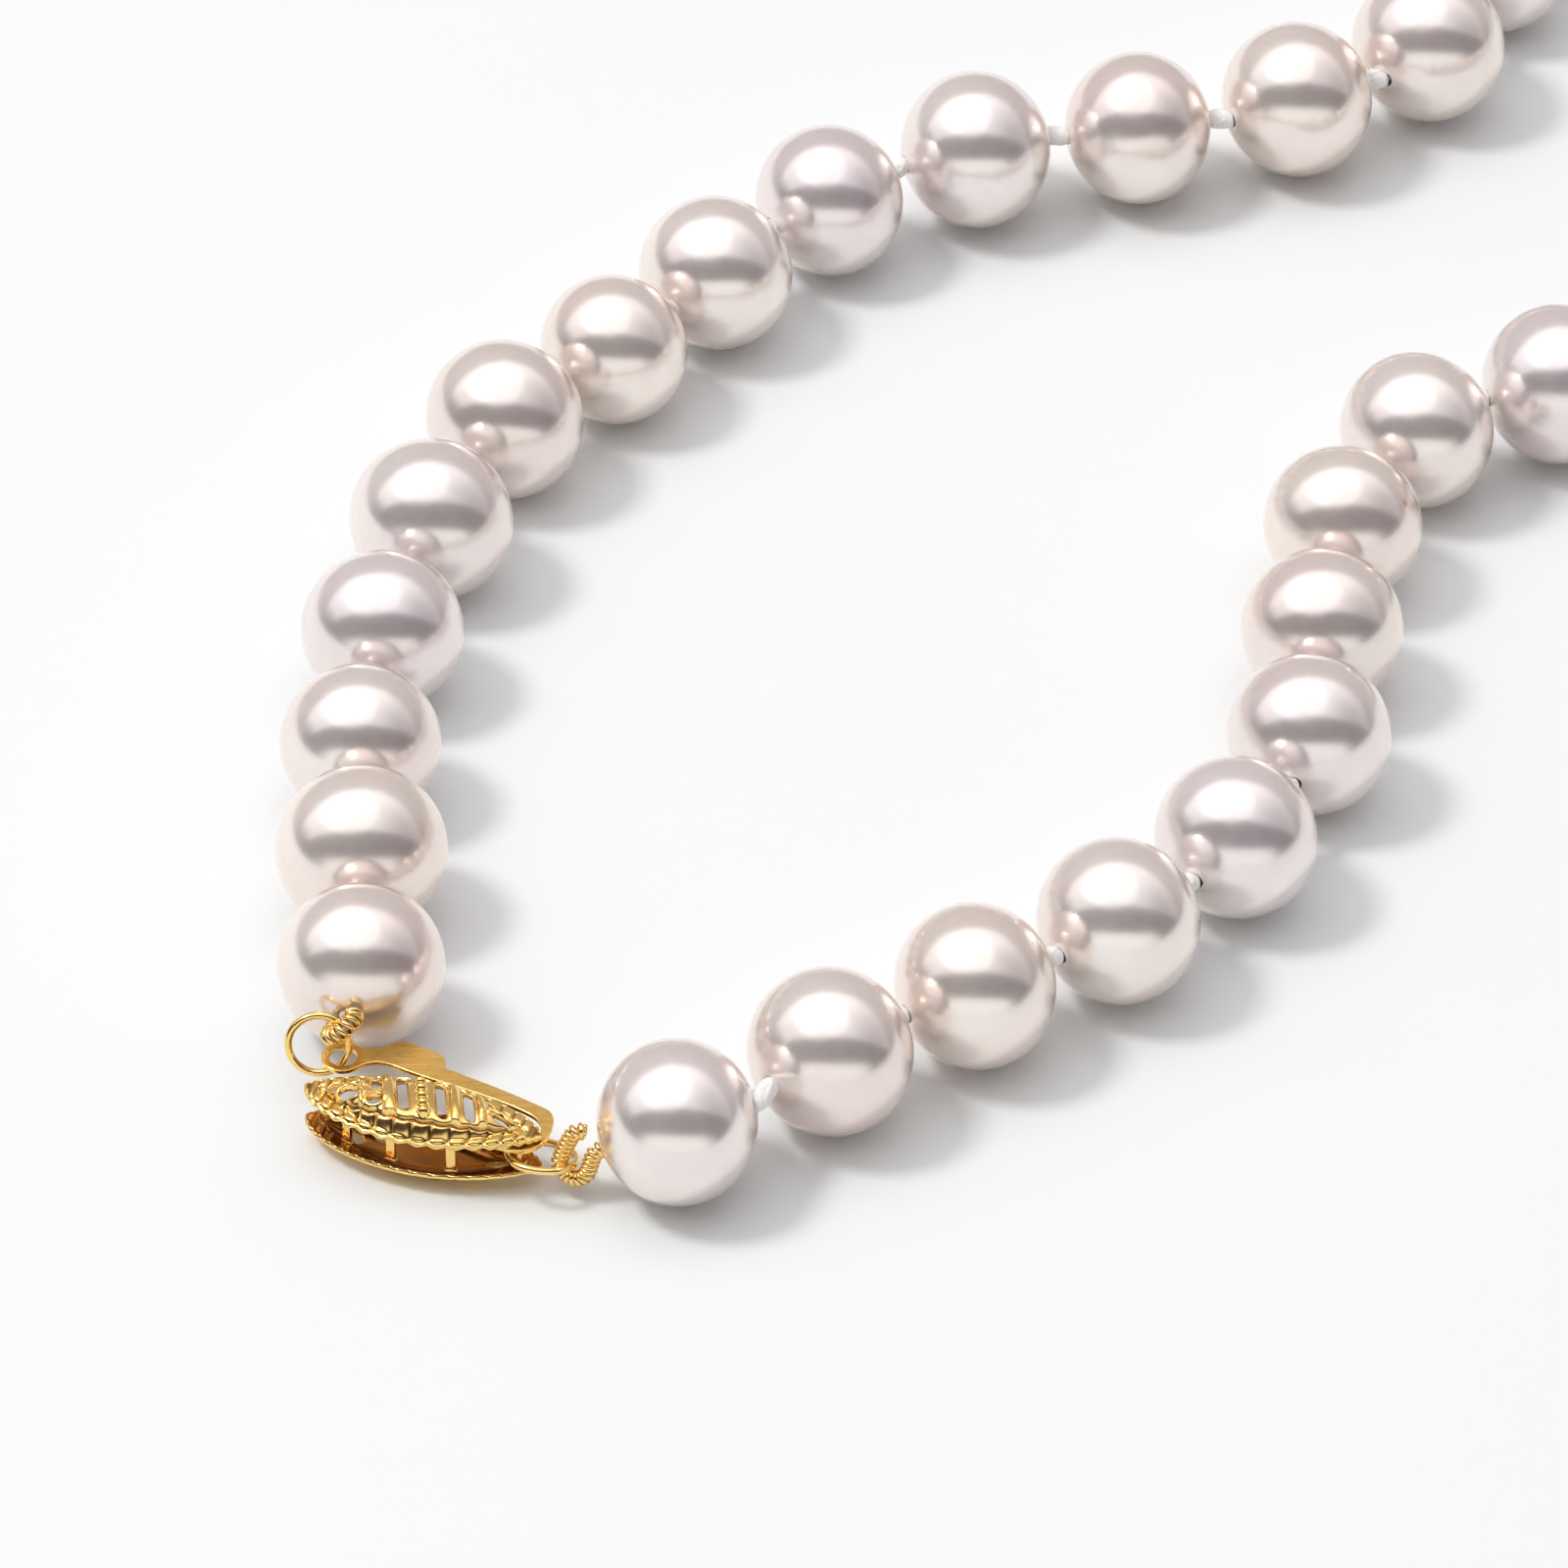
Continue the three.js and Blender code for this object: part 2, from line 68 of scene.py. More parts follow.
DRILL_RATIO, BORE_R = 0.95, 0.42
CLASP_CENTRE, CLASP_TURN = np.array([-17.9, -28.72, 0.0]), math.radians(-18.2)
L_HALF, PLATE, DOME = 6.25, 0.27, 0.95
NEAR_SIDE, FAR_SIDE = (2.42, -0.5, (0.6, 0.85)), (2.06, 0.4, (0.816, 0.7))   # width, where it peaks, powers
BAR_SLANT = -0.42
LOW_RIM, HIGH_RIM = (0.95, 1.22), (2.98, 3.25)
FLUTES = 20


def unit(v):
    v = np.asarray(v, float)
    return v / np.linalg.norm(v)


def strand(plan, aim, after_last):
    out = []
    c = [np.array(p, float) - ORIGIN for p in plan]
    for i, q in enumerate(c):
        r = plan[i][2]
        after = c[i + 1] if i + 1 < len(c) else after_last
        if i == 0:
            d = -unit(aim)
        else:
            d = unit(unit(after - q) + unit(q - out[-1]["end"]))
        half = r * DRILL_RATIO
        mouth = math.sqrt(1 - (BORE_R / r) ** 2) * half
        out.append({"c": q, "r": r, "half": half, "dir": d, "start": q - d * mouth, "end": q + d * mouth})
    return out


left = strand(LEFT, [-0.17, -0.985, 0.02], np.array(RIGHT[-1]) - ORIGIN)
right = strand(RIGHT, [-0.968, -0.05, -0.24], np.array(LEFT[-1]) - ORIGIN)


def clasp_to_row(p):
    """Points in the clasp's own axes (mm) to the row frame (mm)."""
    p = np.asarray(p, float)
    c, s = math.cos(CLASP_TURN), math.sin(CLASP_TURN)
    q = np.empty_like(p)
    q[..., 0] = c * p[..., 0] - s * p[..., 1]
    q[..., 1] = s * p[..., 0] + c * p[..., 1]
    q[..., 2] = p[..., 2]
    return q + CLASP_CENTRE - ORIGIN


# ---------------------------------------------------------------- node materials
def material(name):
    m = bpy.data.materials.new(name)
    m.use_nodes = True
    nt = m.node_tree
    b = nt.nodes["Principled BSDF"]
    return m, nt, b


def node(nt, kind, **values):
    n = nt.nodes.new(kind)
    for k, v in values.items():
        if hasattr(n, k):
            setattr(n, k, v)
        else:
            n.inputs[k.replace("_", " ").title()].default_value = v
    return n


def ramp(nt, stops):
    n = nt.nodes.new("ShaderNodeValToRGB")
    e = n.color_ramp.elements
    while len(e) < len(stops):
        e.new(0.5)
    for k, (at, col) in enumerate(stops):
        e[k].position = at
        e[k].color = (*col, 1.0)
    return n


def noise(nt, vector, scale, detail=3.0, rough=0.5):
    n = nt.nodes.new("ShaderNodeTexNoise")
    n.inputs["Scale"].default_value = scale
    n.inputs["Detail"].default_value = detail
    n.inputs["Roughness"].default_value = rough
    nt.links.new(vector, n.inputs["Vector"])
    return n


def mix_colour(nt, kind, fac, a, b):
    n = nt.nodes.new("ShaderNodeMix")
    n.data_type = "RGBA"
    n.blend_type = kind
    for value, socket in ((fac, n.inputs[0]), (a, n.inputs[6]), (b, n.inputs[7])):
        if isinstance(value, bpy.types.NodeSocket):
            nt.links.new(value, socket)
        elif isinstance(value, (int, float)):
            socket.default_value = value
        else:
            socket.default_value = (*value, 1.0)
    return n.outputs[2]


def nacre(name, body, rose, spots=()):
    """Pearl nacre: a lustrous, slightly translucent layered body under a clear glossy skin."""
    m, nt, b = material(name)
    tc = nt.nodes.new("ShaderNodeTexCoord")
    obj = tc.outputs["Object"]
    # slow drifts of overtone over one pearl, and faint cloudy growth lines
    big = noise(nt, obj, 170.0, 2.0, 0.5)
    tone = ramp(nt, [(0.30, rose), (0.52, body), (0.74, [min(1, c * 1.05) for c in (body[0], body[1] * 1.005, body[2] * 1.01)])])
    nt.links.new(big.outputs["Fac"], tone.inputs["Fac"])
    fine = noise(nt, obj, 1500.0, 4.0, 0.6)
    cloud = ramp(nt, [(0.25, (0.955, 0.95, 0.95)), (0.7, (1.0, 1.0, 1.0))])
    nt.links.new(fine.outputs["Fac"], cloud.inputs["Fac"])
    colour = mix_colour(nt, "MULTIPLY", 1.0, tone.outputs["Color"], cloud.outputs["Color"])
    # the body colour deepens a little towards the edge, where light runs through more nacre
    lw = nt.nodes.new("ShaderNodeLayerWeight")
    lw.inputs["Blend"].default_value = 0.35
    edge = ramp(nt, [(0.0, (1.0, 0.985, 1.0)), (0.45, (1.0, 0.965, 0.94)), (0.85, (1.0, 0.955, 0.92)), (1.0, (1.0, 1.0, 1.0))])
    nt.links.new(lw.outputs["Facing"], edge.inputs["Fac"])
    colour = mix_colour(nt, "MULTIPLY", 1.0, colour, edge.outputs["Color"])
    for at, radius, tint in spots:
        d = nt.nodes.new("ShaderNodeVectorMath")
        d.operation = "DISTANCE"
        nt.links.new(obj, d.inputs[0])
        d.inputs[1].default_value = at
        wob = nt.nodes.new("ShaderNodeMath")
        wob.operation = "MULTIPLY_ADD"
        nt.links.new(fine.outputs["Fac"], wob.inputs[0])
        wob.inputs[1].default_value = radius * 0.6
        nt.links.new(d.outputs["Value"], wob.inputs[2])
        near = nt.nodes.new("ShaderNodeMapRange")
        near.inputs["From Min"].default_value = radius * 0.9
        near.inputs["From Max"].default_value = radius * 1.5
        near.inputs["To Min"].default_value = 1.0
        near.inputs["To Max"].default_value = 0.0
        nt.links.new(wob.outputs["Value"], near.inputs["Value"])
        colour = mix_colour(nt, "MULTIPLY", near.outputs["Result"], colour, tint)
    nt.links.new(colour, b.inputs["Base Color"])
    rough = nt.nodes.new("ShaderNodeMapRange")
    rough.inputs["To Min"].default_value = 0.19
    rough.inputs["To Max"].default_value = 0.25
    nt.links.new(fine.outputs["Fac"], rough.inputs["Value"])
    nt.links.new(rough.outputs["Result"], b.inputs["Roughness"])
    b.inputs["Metallic"].default_value = 0.66
    b.inputs["IOR"].default_value = 1.56
    b.inputs["Subsurface Weight"].default_value = 0.25
    b.inputs["Subsurface Radius"].default_value = (1.0, 0.62, 0.48)
    b.inputs["Subsurface Scale"].default_value = 0.0012
    b.inputs["Coat Weight"].default_value = 0.55
    b.inputs["Coat Roughness"].default_value = 0.04
    b.inputs["Coat IOR"].default_value = 1.5
    bump = nt.nodes.new("ShaderNodeBump")
    bump.inputs["Strength"].default_value = 0.10
    bump.inputs["Distance"].default_value = 0.00004
    low = noise(nt, obj, 420.0, 2.0, 0.5)
    nt.links.new(low.outputs["Fac"], bump.inputs["Height"])
    nt.links.new(bump.outputs["Normal"], b.inputs["Normal"])
    return m


def gold(name, colour, rough_low, rough_high, bump_strength, stretch=None):
    m, nt, b = material(name)
    tc = nt.nodes.new("ShaderNodeTexCoord")
    vector = tc.outputs["Object"]
    if stretch:
        mp = nt.nodes.new("ShaderNodeMapping")
        mp.inputs["Rotation"].default_value = (0, 0, -CLASP_TURN)
        mp.inputs["Scale"].default_value = stretch
        nt.links.new(vector, mp.inputs["Vector"])
        vector = mp.outputs["Vector"]
    n1 = noise(nt, vector, 2600.0, 5.0, 0.62)
    n2 = noise(nt, tc.outputs["Object"], 520.0, 3.0, 0.5)
    tone = ramp(nt, [(0.3, [c * 0.90 for c in colour]), (0.62, colour), (0.85, [min(1.0, c * 1.04) for c in colour])])
    nt.links.new(n2.outputs["Fac"], tone.inputs["Fac"])
    # painted shade: the recesses and the inner skins are mixed towards a dark brown, standing in for the shade and dark
    # reflections that fall there
    shade = nt.nodes.new("ShaderNodeAttribute")
    shade.attribute_name = "painted_recess_shade"
    painted_shade = mix_colour(nt, "MIX", shade.outputs["Fac"], tone.outputs["Color"], (0.26, 0.085, 0.012))
    nt.links.new(painted_shade, b.inputs["Base Color"])
    mr = nt.nodes.new("ShaderNodeMapRange")
    mr.inputs["From Min"].default_value = 0.3
    mr.inputs["From Max"].default_value = 0.7
    mr.inputs["To Min"].default_value = rough_low
    mr.inputs["To Max"].default_value = rough_high
    nt.links.new(n1.outputs["Fac"], mr.inputs["Value"])
    nt.links.new(mr.outputs["Result"], b.inputs["Roughness"])
    b.inputs["Metallic"].default_value = 1.0
    bump = nt.nodes.new("ShaderNodeBump")
    bump.inputs["Strength"].default_value = bump_strength
    bump.inputs["Distance"].default_value = 0.00003
    nt.links.new(n1.outputs["Fac"], bump.inputs["Height"])
    nt.links.new(bump.outputs["Normal"], b.inputs["Normal"])
    return m


def silk_material():
    m, nt, b = material("silk")
    tc = nt.nodes.new("ShaderNodeTexCoord")
    n = noise(nt, tc.outputs["Object"], 9000.0, 3.0, 0.6)
    tone = ramp(nt, [(0.25, (0.86, 0.85, 0.83)), (0.6, (0.96, 0.955, 0.945))])
    nt.links.new(n.outputs["Fac"], tone.inputs["Fac"])
    nt.links.new(tone.outputs["Color"], b.inputs["Base Color"])
    mr = nt.nodes.new("ShaderNodeMapRange")
    mr.inputs["To Min"].default_value = 0.5
    mr.inputs["To Max"].default_value = 0.72
    nt.links.new(n.outputs["Fac"], mr.inputs["Value"])
    nt.links.new(mr.outputs["Result"], b.inputs["Roughness"])
    b.inputs["Sheen Weight"].default_value = 0.35
    b.inputs["Sheen Roughness"].default_value = 0.4
    bump = nt.nodes.new("ShaderNodeBump")
    bump.inputs["Strength"].default_value = 0.5
    bump.inputs["Distance"].default_value = 0.00002
    nt.links.new(n.outputs["Fac"], bump.inputs["Height"])
    nt.links.new(bump.outputs["Normal"], b.inputs["Normal"])
    return m


# ---------------------------------------------------------------- mesh helpers
def piece(name, verts_mm, faces, mats, body, smooth=True, face_mats=None):
    me = bpy.data.meshes.new(name)
    me.from_pydata((np.asarray(verts_mm) * MM).tolist(), [], faces)
    me.update()
    ob = bpy.data.objects.new(name, me)
    bpy.context.scene.collection.objects.link(ob)
    for mt in mats:
        me.materials.append(mt)
    if smooth:
        me.polygons.foreach_set("use_smooth", [True] * len(me.polygons))
    if face_mats is not None:
        me.polygons.foreach_set("material_index", face_mats)
    if body:
        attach(ob, body)
    return ob


def frames(path, closed=False):
    """Unit tangents and a turning-free pair of normals along a path."""
    p = np.asarray(path, float)
    n = len(p)
    if closed:
        t = np.roll(p, -1, 0) - np.roll(p, 1, 0)
    else:
        t = np.gradient(p, axis=0)
    t /= np.linalg.norm(t, axis=1)[:, None]
    ref = np.array([0, 0, 1.0]) if abs(t[0][2]) < 0.9 else np.array([1.0, 0, 0])
    u = np.empty_like(p)
    u[0] = unit(np.cross(t[0], ref))
    for i in range(1, n):
        a = u[i - 1] - t[i] * (u[i - 1] @ t[i])
        u[i] = a / np.linalg.norm(a)
    v = np.cross(t, u)
    if closed:  # spread the leftover twist over the whole loop
        a = u[-1] - t[0] * (u[-1] @ t[0])
        off = math.atan2(a @ v[0], a @ u[0])
        w = -off * np.arange(n) / n
        u, v = u * np.cos(w)[:, None] + v * np.sin(w)[:, None], v * np.cos(w)[:, None] - u * np.sin(w)[:, None]
    return t, u, v


def tube(path, radius, sides=12, closed=False, flat=1.0, cap=True):
    """Vertices and faces of a round wire along a path. radius may vary, and flat squeezes it along its second normal."""
    p = np.asarray(path, float)
    n = len(p)
    r = np.broadcast_to(np.asarray(radius, float), (n,))
    _, u, v = frames(p, closed)
    a = np.arange(sides) * 2 * math.pi / sides
    ring = (u[:, None, :] * np.cos(a)[None, :, None] + v[:, None, :] * (flat * np.sin(a))[None, :, None]) * r[:, None, None]
    verts = (p[:, None, :] + ring).reshape(-1, 3)
    faces = []
    for i in range(n if closed else n - 1):
        j = (i + 1) % n
        for k in range(sides):
            m = (k + 1) % sides
            faces.append((i * sides + k, j * sides + k, j * sides + m, i * sides + m))
    # outward faces: check one and flip all if needed
    f = faces[0]
    nrm = np.cross(verts[f[1]] - verts[f[0]], verts[f[3]] - verts[f[0]])
    if nrm @ (verts[f[0]] - p[0]) < 0:
        faces = [tuple(reversed(q)) for q in faces]
    if cap and not closed:
        base = len(verts)
        t, _, _ = frames(p)
        verts = np.vstack([verts, p[0] - t[0] * r[0] * 0.35, p[-1] + t[-1] * r[-1] * 0.35])
        e0, e1 = list(range(sides)), list(range((n - 1) * sides, n * sides))
        for k in range(sides):
            m = (k + 1) % sides
            a_, b_ = (e0[k], e0[m]), (e1[m], e1[k])
            tri0, tri1 = (base, a_[0], a_[1]), (base + 1, b_[0], b_[1])
            n0 = np.cross(verts[tri0[1]] - verts[tri0[0]], verts[tri0[2]] - verts[tri0[0]])
            n1 = np.cross(verts[tri1[1]] - verts[tri1[0]], verts[tri1[2]] - verts[tri1[0]])
            faces.append(tri0 if n0 @ t[0] < 0 else tri0[::-1])
            faces.append(tri1 if n1 @ t[-1] > 0 else tri1[::-1])
    return verts, faces


def joined(parts):
    verts, faces, base = [], [], 0
    for v, f in parts:
        verts.append(np.asarray(v))
        faces += [tuple(base + i for i in q) for q in f]
        base += len(v)
    return np.vstack(verts), faces


def smooth_curve(points, count, closed=False):
    """Centripetal Catmull-Rom through the points, sampled evenly by length."""
    p = np.asarray(points, float)
    if closed:
        q = np.vstack([p[-1], p, p[0], p[1]])
    else:
        q = np.vstack([2 * p[0] - p[1], p, 2 * p[-1] - p[-2]])
    out = []
    for i in range(1, len(q) - 2):
        p0, p1, p2, p3 = q[i - 1], q[i], q[i + 1], q[i + 2]
        t0 = 0.0
        t1 = t0 + max(np.linalg.norm(p1 - p0), 1e-6) ** 0.5
        t2 = t1 + max(np.linalg.norm(p2 - p1), 1e-6) ** 0.5
        t3 = t2 + max(np.linalg.norm(p3 - p2), 1e-6) ** 0.5
        for t in np.linspace(t1, t2, 24, endpoint=False):
            a1 = (t1 - t) / (t1 - t0) * p0 + (t - t0) / (t1 - t0) * p1
            a2 = (t2 - t) / (t2 - t1) * p1 + (t - t1) / (t2 - t1) * p2
            a3 = (t3 - t) / (t3 - t2) * p2 + (t - t2) / (t3 - t2) * p3
            b1 = (t2 - t) / (t2 - t0) * a1 + (t - t0) / (t2 - t0) * a2
            b2 = (t3 - t) / (t3 - t1) * a2 + (t - t1) / (t3 - t1) * a3
            out.append((t2 - t) / (t2 - t1) * b1 + (t - t1) / (t2 - t1) * b2)
    out.append(q[-2] if not closed else q[1])
    out = np.array(out)
    s = np.concatenate([[0], np.cumsum(np.linalg.norm(np.diff(out, axis=0), axis=1))])
    want = np.linspace(0, s[-1], count, endpoint=not closed)
    return np.stack([np.interp(want, s, out[:, k]) for k in range(out.shape[1])], 1)


def frame_along(d):
    y = unit(d)
    x = unit(np.cross(y, [0, 0, 1.0]))
    z = np.cross(x, y)
    return x, y, z


# ---------------------------------------------------------------- materials of the pieces
TINTS = [
    ((0.93, 0.865, 0.815), (0.93, 0.825, 0.79)),
    ((0.94, 0.885, 0.84), (0.93, 0.84, 0.81)),
    ((0.925, 0.88, 0.85), (0.91, 0.83, 0.82)),
    ((0.95, 0.88, 0.82), (0.945, 0.84, 0.79)),
    ((0.92, 0.875, 0.86), (0.91, 0.83, 0.83)),
]
NACRE = [nacre(f"nacre_{i + 1}", b, r) for i, (b, r) in enumerate(TINTS)]
GOLD = gold("gold_polished", (1.0, 0.68, 0.23), 0.12, 0.22, 0.06)
GOLD_WIRE = gold("gold_wire", (0.97, 0.68, 0.25), 0.09, 0.18, 0.08)
SATIN = gold("gold_satin", (0.90, 0.57, 0.16), 0.22, 0.38, 0.55, (0.35, 2.2, 1.0))
SILK = silk_material()


# ---------------------------------------------------------------- pearls
def pearl_mesh(p, seed):
    """A drilled pearl: a slightly uneven body, a rounded mouth at each end of the hole, and the hole's own wall."""
    g = np.random.default_rng(seed)
    sides, r, half = 64, p["r"], p["half"]
    mouth_r, lip = BORE_R, 0.09
    prof = []
    first = math.asin((mouth_r + lip) / r)
    for i in range(49):
        a = first + (math.pi - 2 * first) * i / 48
        prof.append((r * math.sin(a), -half * math.cos(a), 1.0))
    end = prof[-1]
    # the lip rolls into the hole at the far end, runs back through it, and out at the near end
    roll = []
    for i in range(1, 6):
        a = math.pi / 2 * i / 5
        roll.append((mouth_r + lip * (1 - math.sin(a)), end[1] - lip * 0.9 * (1 - math.cos(a)), 0.0))
    inner = [(mouth_r, y, 0.0) for y in np.linspace(roll[-1][1] - 0.2, -(roll[-1][1] - 0.2), 9)]
    back = [(x, -y, 0.0) for x, y, _ in reversed(roll)]
    prof = prof + roll + inner + back
    n = len(prof)
    a = np.arange(sides) * 2 * math.pi / sides
    pr = np.array([q[0] for q in prof])
    py = np.array([q[1] for q in prof])
    on = np.array([q[2] for q in prof])
    local = np.stack([pr[:, None] * np.cos(a), np.repeat(py[:, None], sides, 1), pr[:, None] * np.sin(a)], 2)
    # slow unevenness of the outer skin, within about 0.7 % of the radius, and a few shallow dimples
    u = local / (np.linalg.norm(local, axis=2)[..., None] + 1e-9)
    swell = np.zeros(local.shape[:2])
    for k in range(5):
        w = unit(g.normal(size=3)) * (2 + k)
        swell += g.normal() * 0.0016 * np.sin(u @ w * 1.7 + g.uniform(0, 6.28))
    for k in range(4):
        w = unit(g.normal(size=3))
        swell -= 0.0035 * np.exp(-((1 - u @ w) / 0.0035))
    swell = np.minimum(swell, 0.004) - 0.002
    fade = np.clip((np.abs(py)[:, None] * 0 + pr[:, None] - mouth_r - lip) / 0.8, 0, 1) * on[:, None]
    local = local * (1 + swell * fade)[..., None]
    x, y, z = frame_along(p["dir"])
    world = p["c"] + local[..., 0:1] * x + local[..., 1:2] * y + local[..., 2:3] * z
    faces = []
    for i in range(n):
        j = (i + 1) % n
        for k in range(sides):
            m = (k + 1) % sides
            faces.append((i * sides + k, j * sides + k, j * sides + m, i * sides + m))
    verts = world.reshape(-1, 3)
    f = faces[24 * sides]
    nrm = np.cross(verts[f[1]] - verts[f[0]], verts[f[3]] - verts[f[0]])
    if nrm @ (verts[f[0]] - p["c"]) < 0:
        faces = [tuple(reversed(q)) for q in faces]
    return verts, faces


def on_pearl(p, x, y):
    """A point of the pearl's skin facing the viewer, x to the right and y up, as shares of its radius (metres, row frame)."""
    e = math.radians(40.448)
    up = np.array([0, math.sin(e), math.cos(e)])
    to = np.array([0, -math.cos(e), math.sin(e)])
    v = np.array([x, 0, 0]) + y * up + math.sqrt(max(0, 1 - x * x - y * y)) * to
    return tuple((p["c"] + v * p["r"]) * MM)


SPOTS = {
    ("right", 8): [(on_pearl(right[7], 0.75, 0.24), 0.00022, (0.80, 0.66, 0.52))],
    ("left", 2): [(on_pearl(left[1], 0.10, 0.07), 0.00012, (0.72, 0.66, 0.64))],
    ("left", 1): [(on_pearl(left[0], -0.35, -0.05), 0.00009, (0.78, 0.70, 0.64)), (on_pearl(left[0], 0.28, 0.30), 0.00008, (0.80, 0.72, 0.66))],
}
for side, pearls in (("left", left), ("right", right)):
    for i, p in enumerate(pearls):
        name = f"pearl_{side}_{i + 1:02d}"
        verts, faces = pearl_mesh(p, 100 + i + (50 if side == "right" else 0))
        t = (i * 3 + (0 if side == "left" else 2)) % len(TINTS)
        mat = NACRE[t]
        if (side, i + 1) in SPOTS:
            mat = nacre(f"nacre_{side}_{i + 1}", *TINTS[t], spots=SPOTS[(side, i + 1)])
        ob = piece(name + "_nacre", verts, faces, [mat], f"{side}_{i + 1:02d}")
        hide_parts(name)


# ---------------------------------------------------------------- silk: a knot after each pearl, and the twisted thread through the holes
def silk_part(a, b, start, end, knot=True, seed=0):
    """From inside one pearl to inside the next: two twisted plies, and an overhand knot in the middle."""
    g = np.random.default_rng(seed)
    a, b, start, end = (np.asarray(q, float) for q in (a, b, start, end))
    path = smooth_curve([a, a * 0.5 + start * 0.5, start, (start + end) / 2, end, b * 0.5 + end * 0.5, b], 90)
    _, u, v = frames(path)
    s = np.concatenate([[0], np.cumsum(np.linalg.norm(np.diff(path, axis=0), axis=1))])
    parts = []
    for ply in range(2):
        w = s * 2 * math.pi / 0.62 + ply * math.pi
        q = path + 0.085 * (u * np.cos(w)[:, None] + v * np.sin(w)[:, None])
        parts.append(tube(q, 0.088, 8))
    if knot:
        mid, d = (start + end) / 2, unit(end - start)
        x, y, z = frame_along(d)
        turn = g.uniform(0, 6.28)
        x, z = x * math.cos(turn) + z * math.sin(turn), z * math.cos(turn) - x * math.sin(turn)
        length = np.linalg.norm(end - start)
        half = max(0.20, (length - 0.16) / 2 - 0.10)
        t = np.arange(120) * 2 * math.pi / 120
        # a trefoil: the overhand knot, pulled tight
        kx = np.sin(t) + 2 * np.sin(2 * t)
        kz = np.cos(t) - 2 * np.cos(2 * t)
        ky = -np.sin(3 * t)
        for off, rad in ((0.0, 0.175), (0.5, 0.15)):
            c, sn = math.cos(off), math.sin(off)
            px, pz = (kx * c - kz * sn) / 3.0 * 0.42, (kx * sn + kz * c) / 3.0 * 0.42
            q = mid + px[:, None] * x + (ky * (half - 0.08) * (1 if off == 0 else -0.8))[:, None] * y + pz[:, None] * z
            parts.append(tube(q, rad, 10, closed=True))
        # the snug heart of the knot
        reach = length / 2 + 0.16
        hs = np.linspace(-reach, reach, 26)
        hq = mid + hs[:, None] * y
        bulge = np.exp(-(hs / max(0.16, length / 2 - 0.04)) ** 4)
        hr = 0.385 + 0.15 * bulge
        hr[0] = hr[-1] = 0.30
        parts.append(tube(hq, hr, 20))
    return joined(parts)


for side, pearls in (("left", left), ("right", right)):
    for i in range(len(pearls) - 1):
        p, q = pearls[i], pearls[i + 1]
        verts, faces = silk_part(p["c"], q["c"], p["end"], q["start"], seed=i + (40 if side == "right" else 0))
        ob = piece(f"silk_{side}_knot_{i + 1:02d}", verts, faces, [SILK], None)
        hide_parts(f"silk_thread_{side}")
        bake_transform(ob)
# the silk's start in each first pearl, up to the French wire
for side, pearls in (("left", left), ("right", right)):
    p = pearls[0]
    verts, faces = silk_part(p["c"], p["start"] + p["dir"] * 0.15, p["c"] * 0.6 + p["start"] * 0.4, p["c"] * 0.3 + p["start"] * 0.7, knot=False)
    piece(f"silk_{side}_start", verts, faces, [SILK], f"{side}_01")
    # the silk fills the mouth of the hole behind the French wire
    at = p["start"] + p["dir"] * np.linspace(0.5, 0.0, 9)[:, None]
    verts, faces = tube(at, np.array([0.30] + [0.38] * 7 + [0.32]), 16)
    piece(f"silk_{side}_mouth", verts, faces, [SILK], f"{side}_01")
# the closing knot at the back, on the left side's silk
p, q = left[-1], right[-1]
gap_end = p["end"] + (q["end"] - p["end"]) * 0.86
verts, faces = silk_part(p["c"], gap_end, p["end"], gap_end - unit(q["end"] - p["end"]) * 0.02, seed=99)
piece("silk_left_knot_22", verts, faces, [SILK], "left_22")
verts, faces = silk_part(q["c"], q["end"] - q["dir"] * 0.15, q["c"] * 0.6 + q["end"] * 0.4, q["c"] * 0.3 + q["end"] * 0.7, knot=False)
piece("silk_right_end", verts, faces, [SILK], "right_22")


# ---------------------------------------------------------------- clasp plates, from a signed distance to their edges
def side_width(side, x):
    width, peak, power = side
    x = np.asarray(x, float)
    left_of = x < peak
    u = (x - peak) / np.where(left_of, L_HALF + peak, L_HALF - peak)
    return width * np.clip(1 - u * u, 0, 1) ** np.where(left_of, power[0], power[1])


def soft_dome(x, y):
    """The dome of the case, without the crease at its foot."""
    near, far = side_width(NEAR_SIDE, x), side_width(FAR_SIDE, x)
    w = np.maximum(0.465 * (near + far), 1e-3)
    q = (x / 5.1) ** 2 + ((y - (far - near) / 2) / w) ** 2
    k = np.clip(1 - q, 0, 1)
    return DOME * 0.97 * k * (2 - k)


def sd_box(x, y, cx, cy, hx, hy, r, slant=0.0, turn=0.0):
    px, py = x - cx, y - cy
    px = px - slant * py
    if turn:
        c, s = math.cos(turn), math.sin(turn)
        px, py = c * px + s * py, c * py - s * px
    qx, qy = np.abs(px) - hx + r, np.abs(py) - hy + r
    return np.hypot(np.maximum(qx, 0), np.maximum(qy, 0)) + np.minimum(np.maximum(qx, qy), 0) - r


def sd_oval(x, y, cx, cy, rx, ry, turn=0.0):
    px, py = x - cx, y - cy
    c, s = math.cos(turn), math.sin(turn)
    px, py = c * px + s * py, c * py - s * px
    k = np.hypot(px / rx, py / ry) + 1e-9
    return (k - 1) * np.hypot(px, py) / k


def smin(a, b, k):
    h = np.clip(0.5 + 0.5 * (b - a) / k, 0, 1)
    return b * (1 - h) + a * h - k * h * (1 - h)


def smooth_step(v, a, b):
    t = np.clip((v - a) / (b - a), 0, 1)
    return t * t * (3 - 2 * t)


def oval_at(x, y, cx, cy, rx, ry, turn):
    return sd_oval(x, y, cx, cy, rx, ry, turn)


def slot_at(x, y, x0, half, width, y0):
    return sd_box(x, y, x0, y0, width / 2, half, min(width / 2, 0.2), BAR_SLANT)


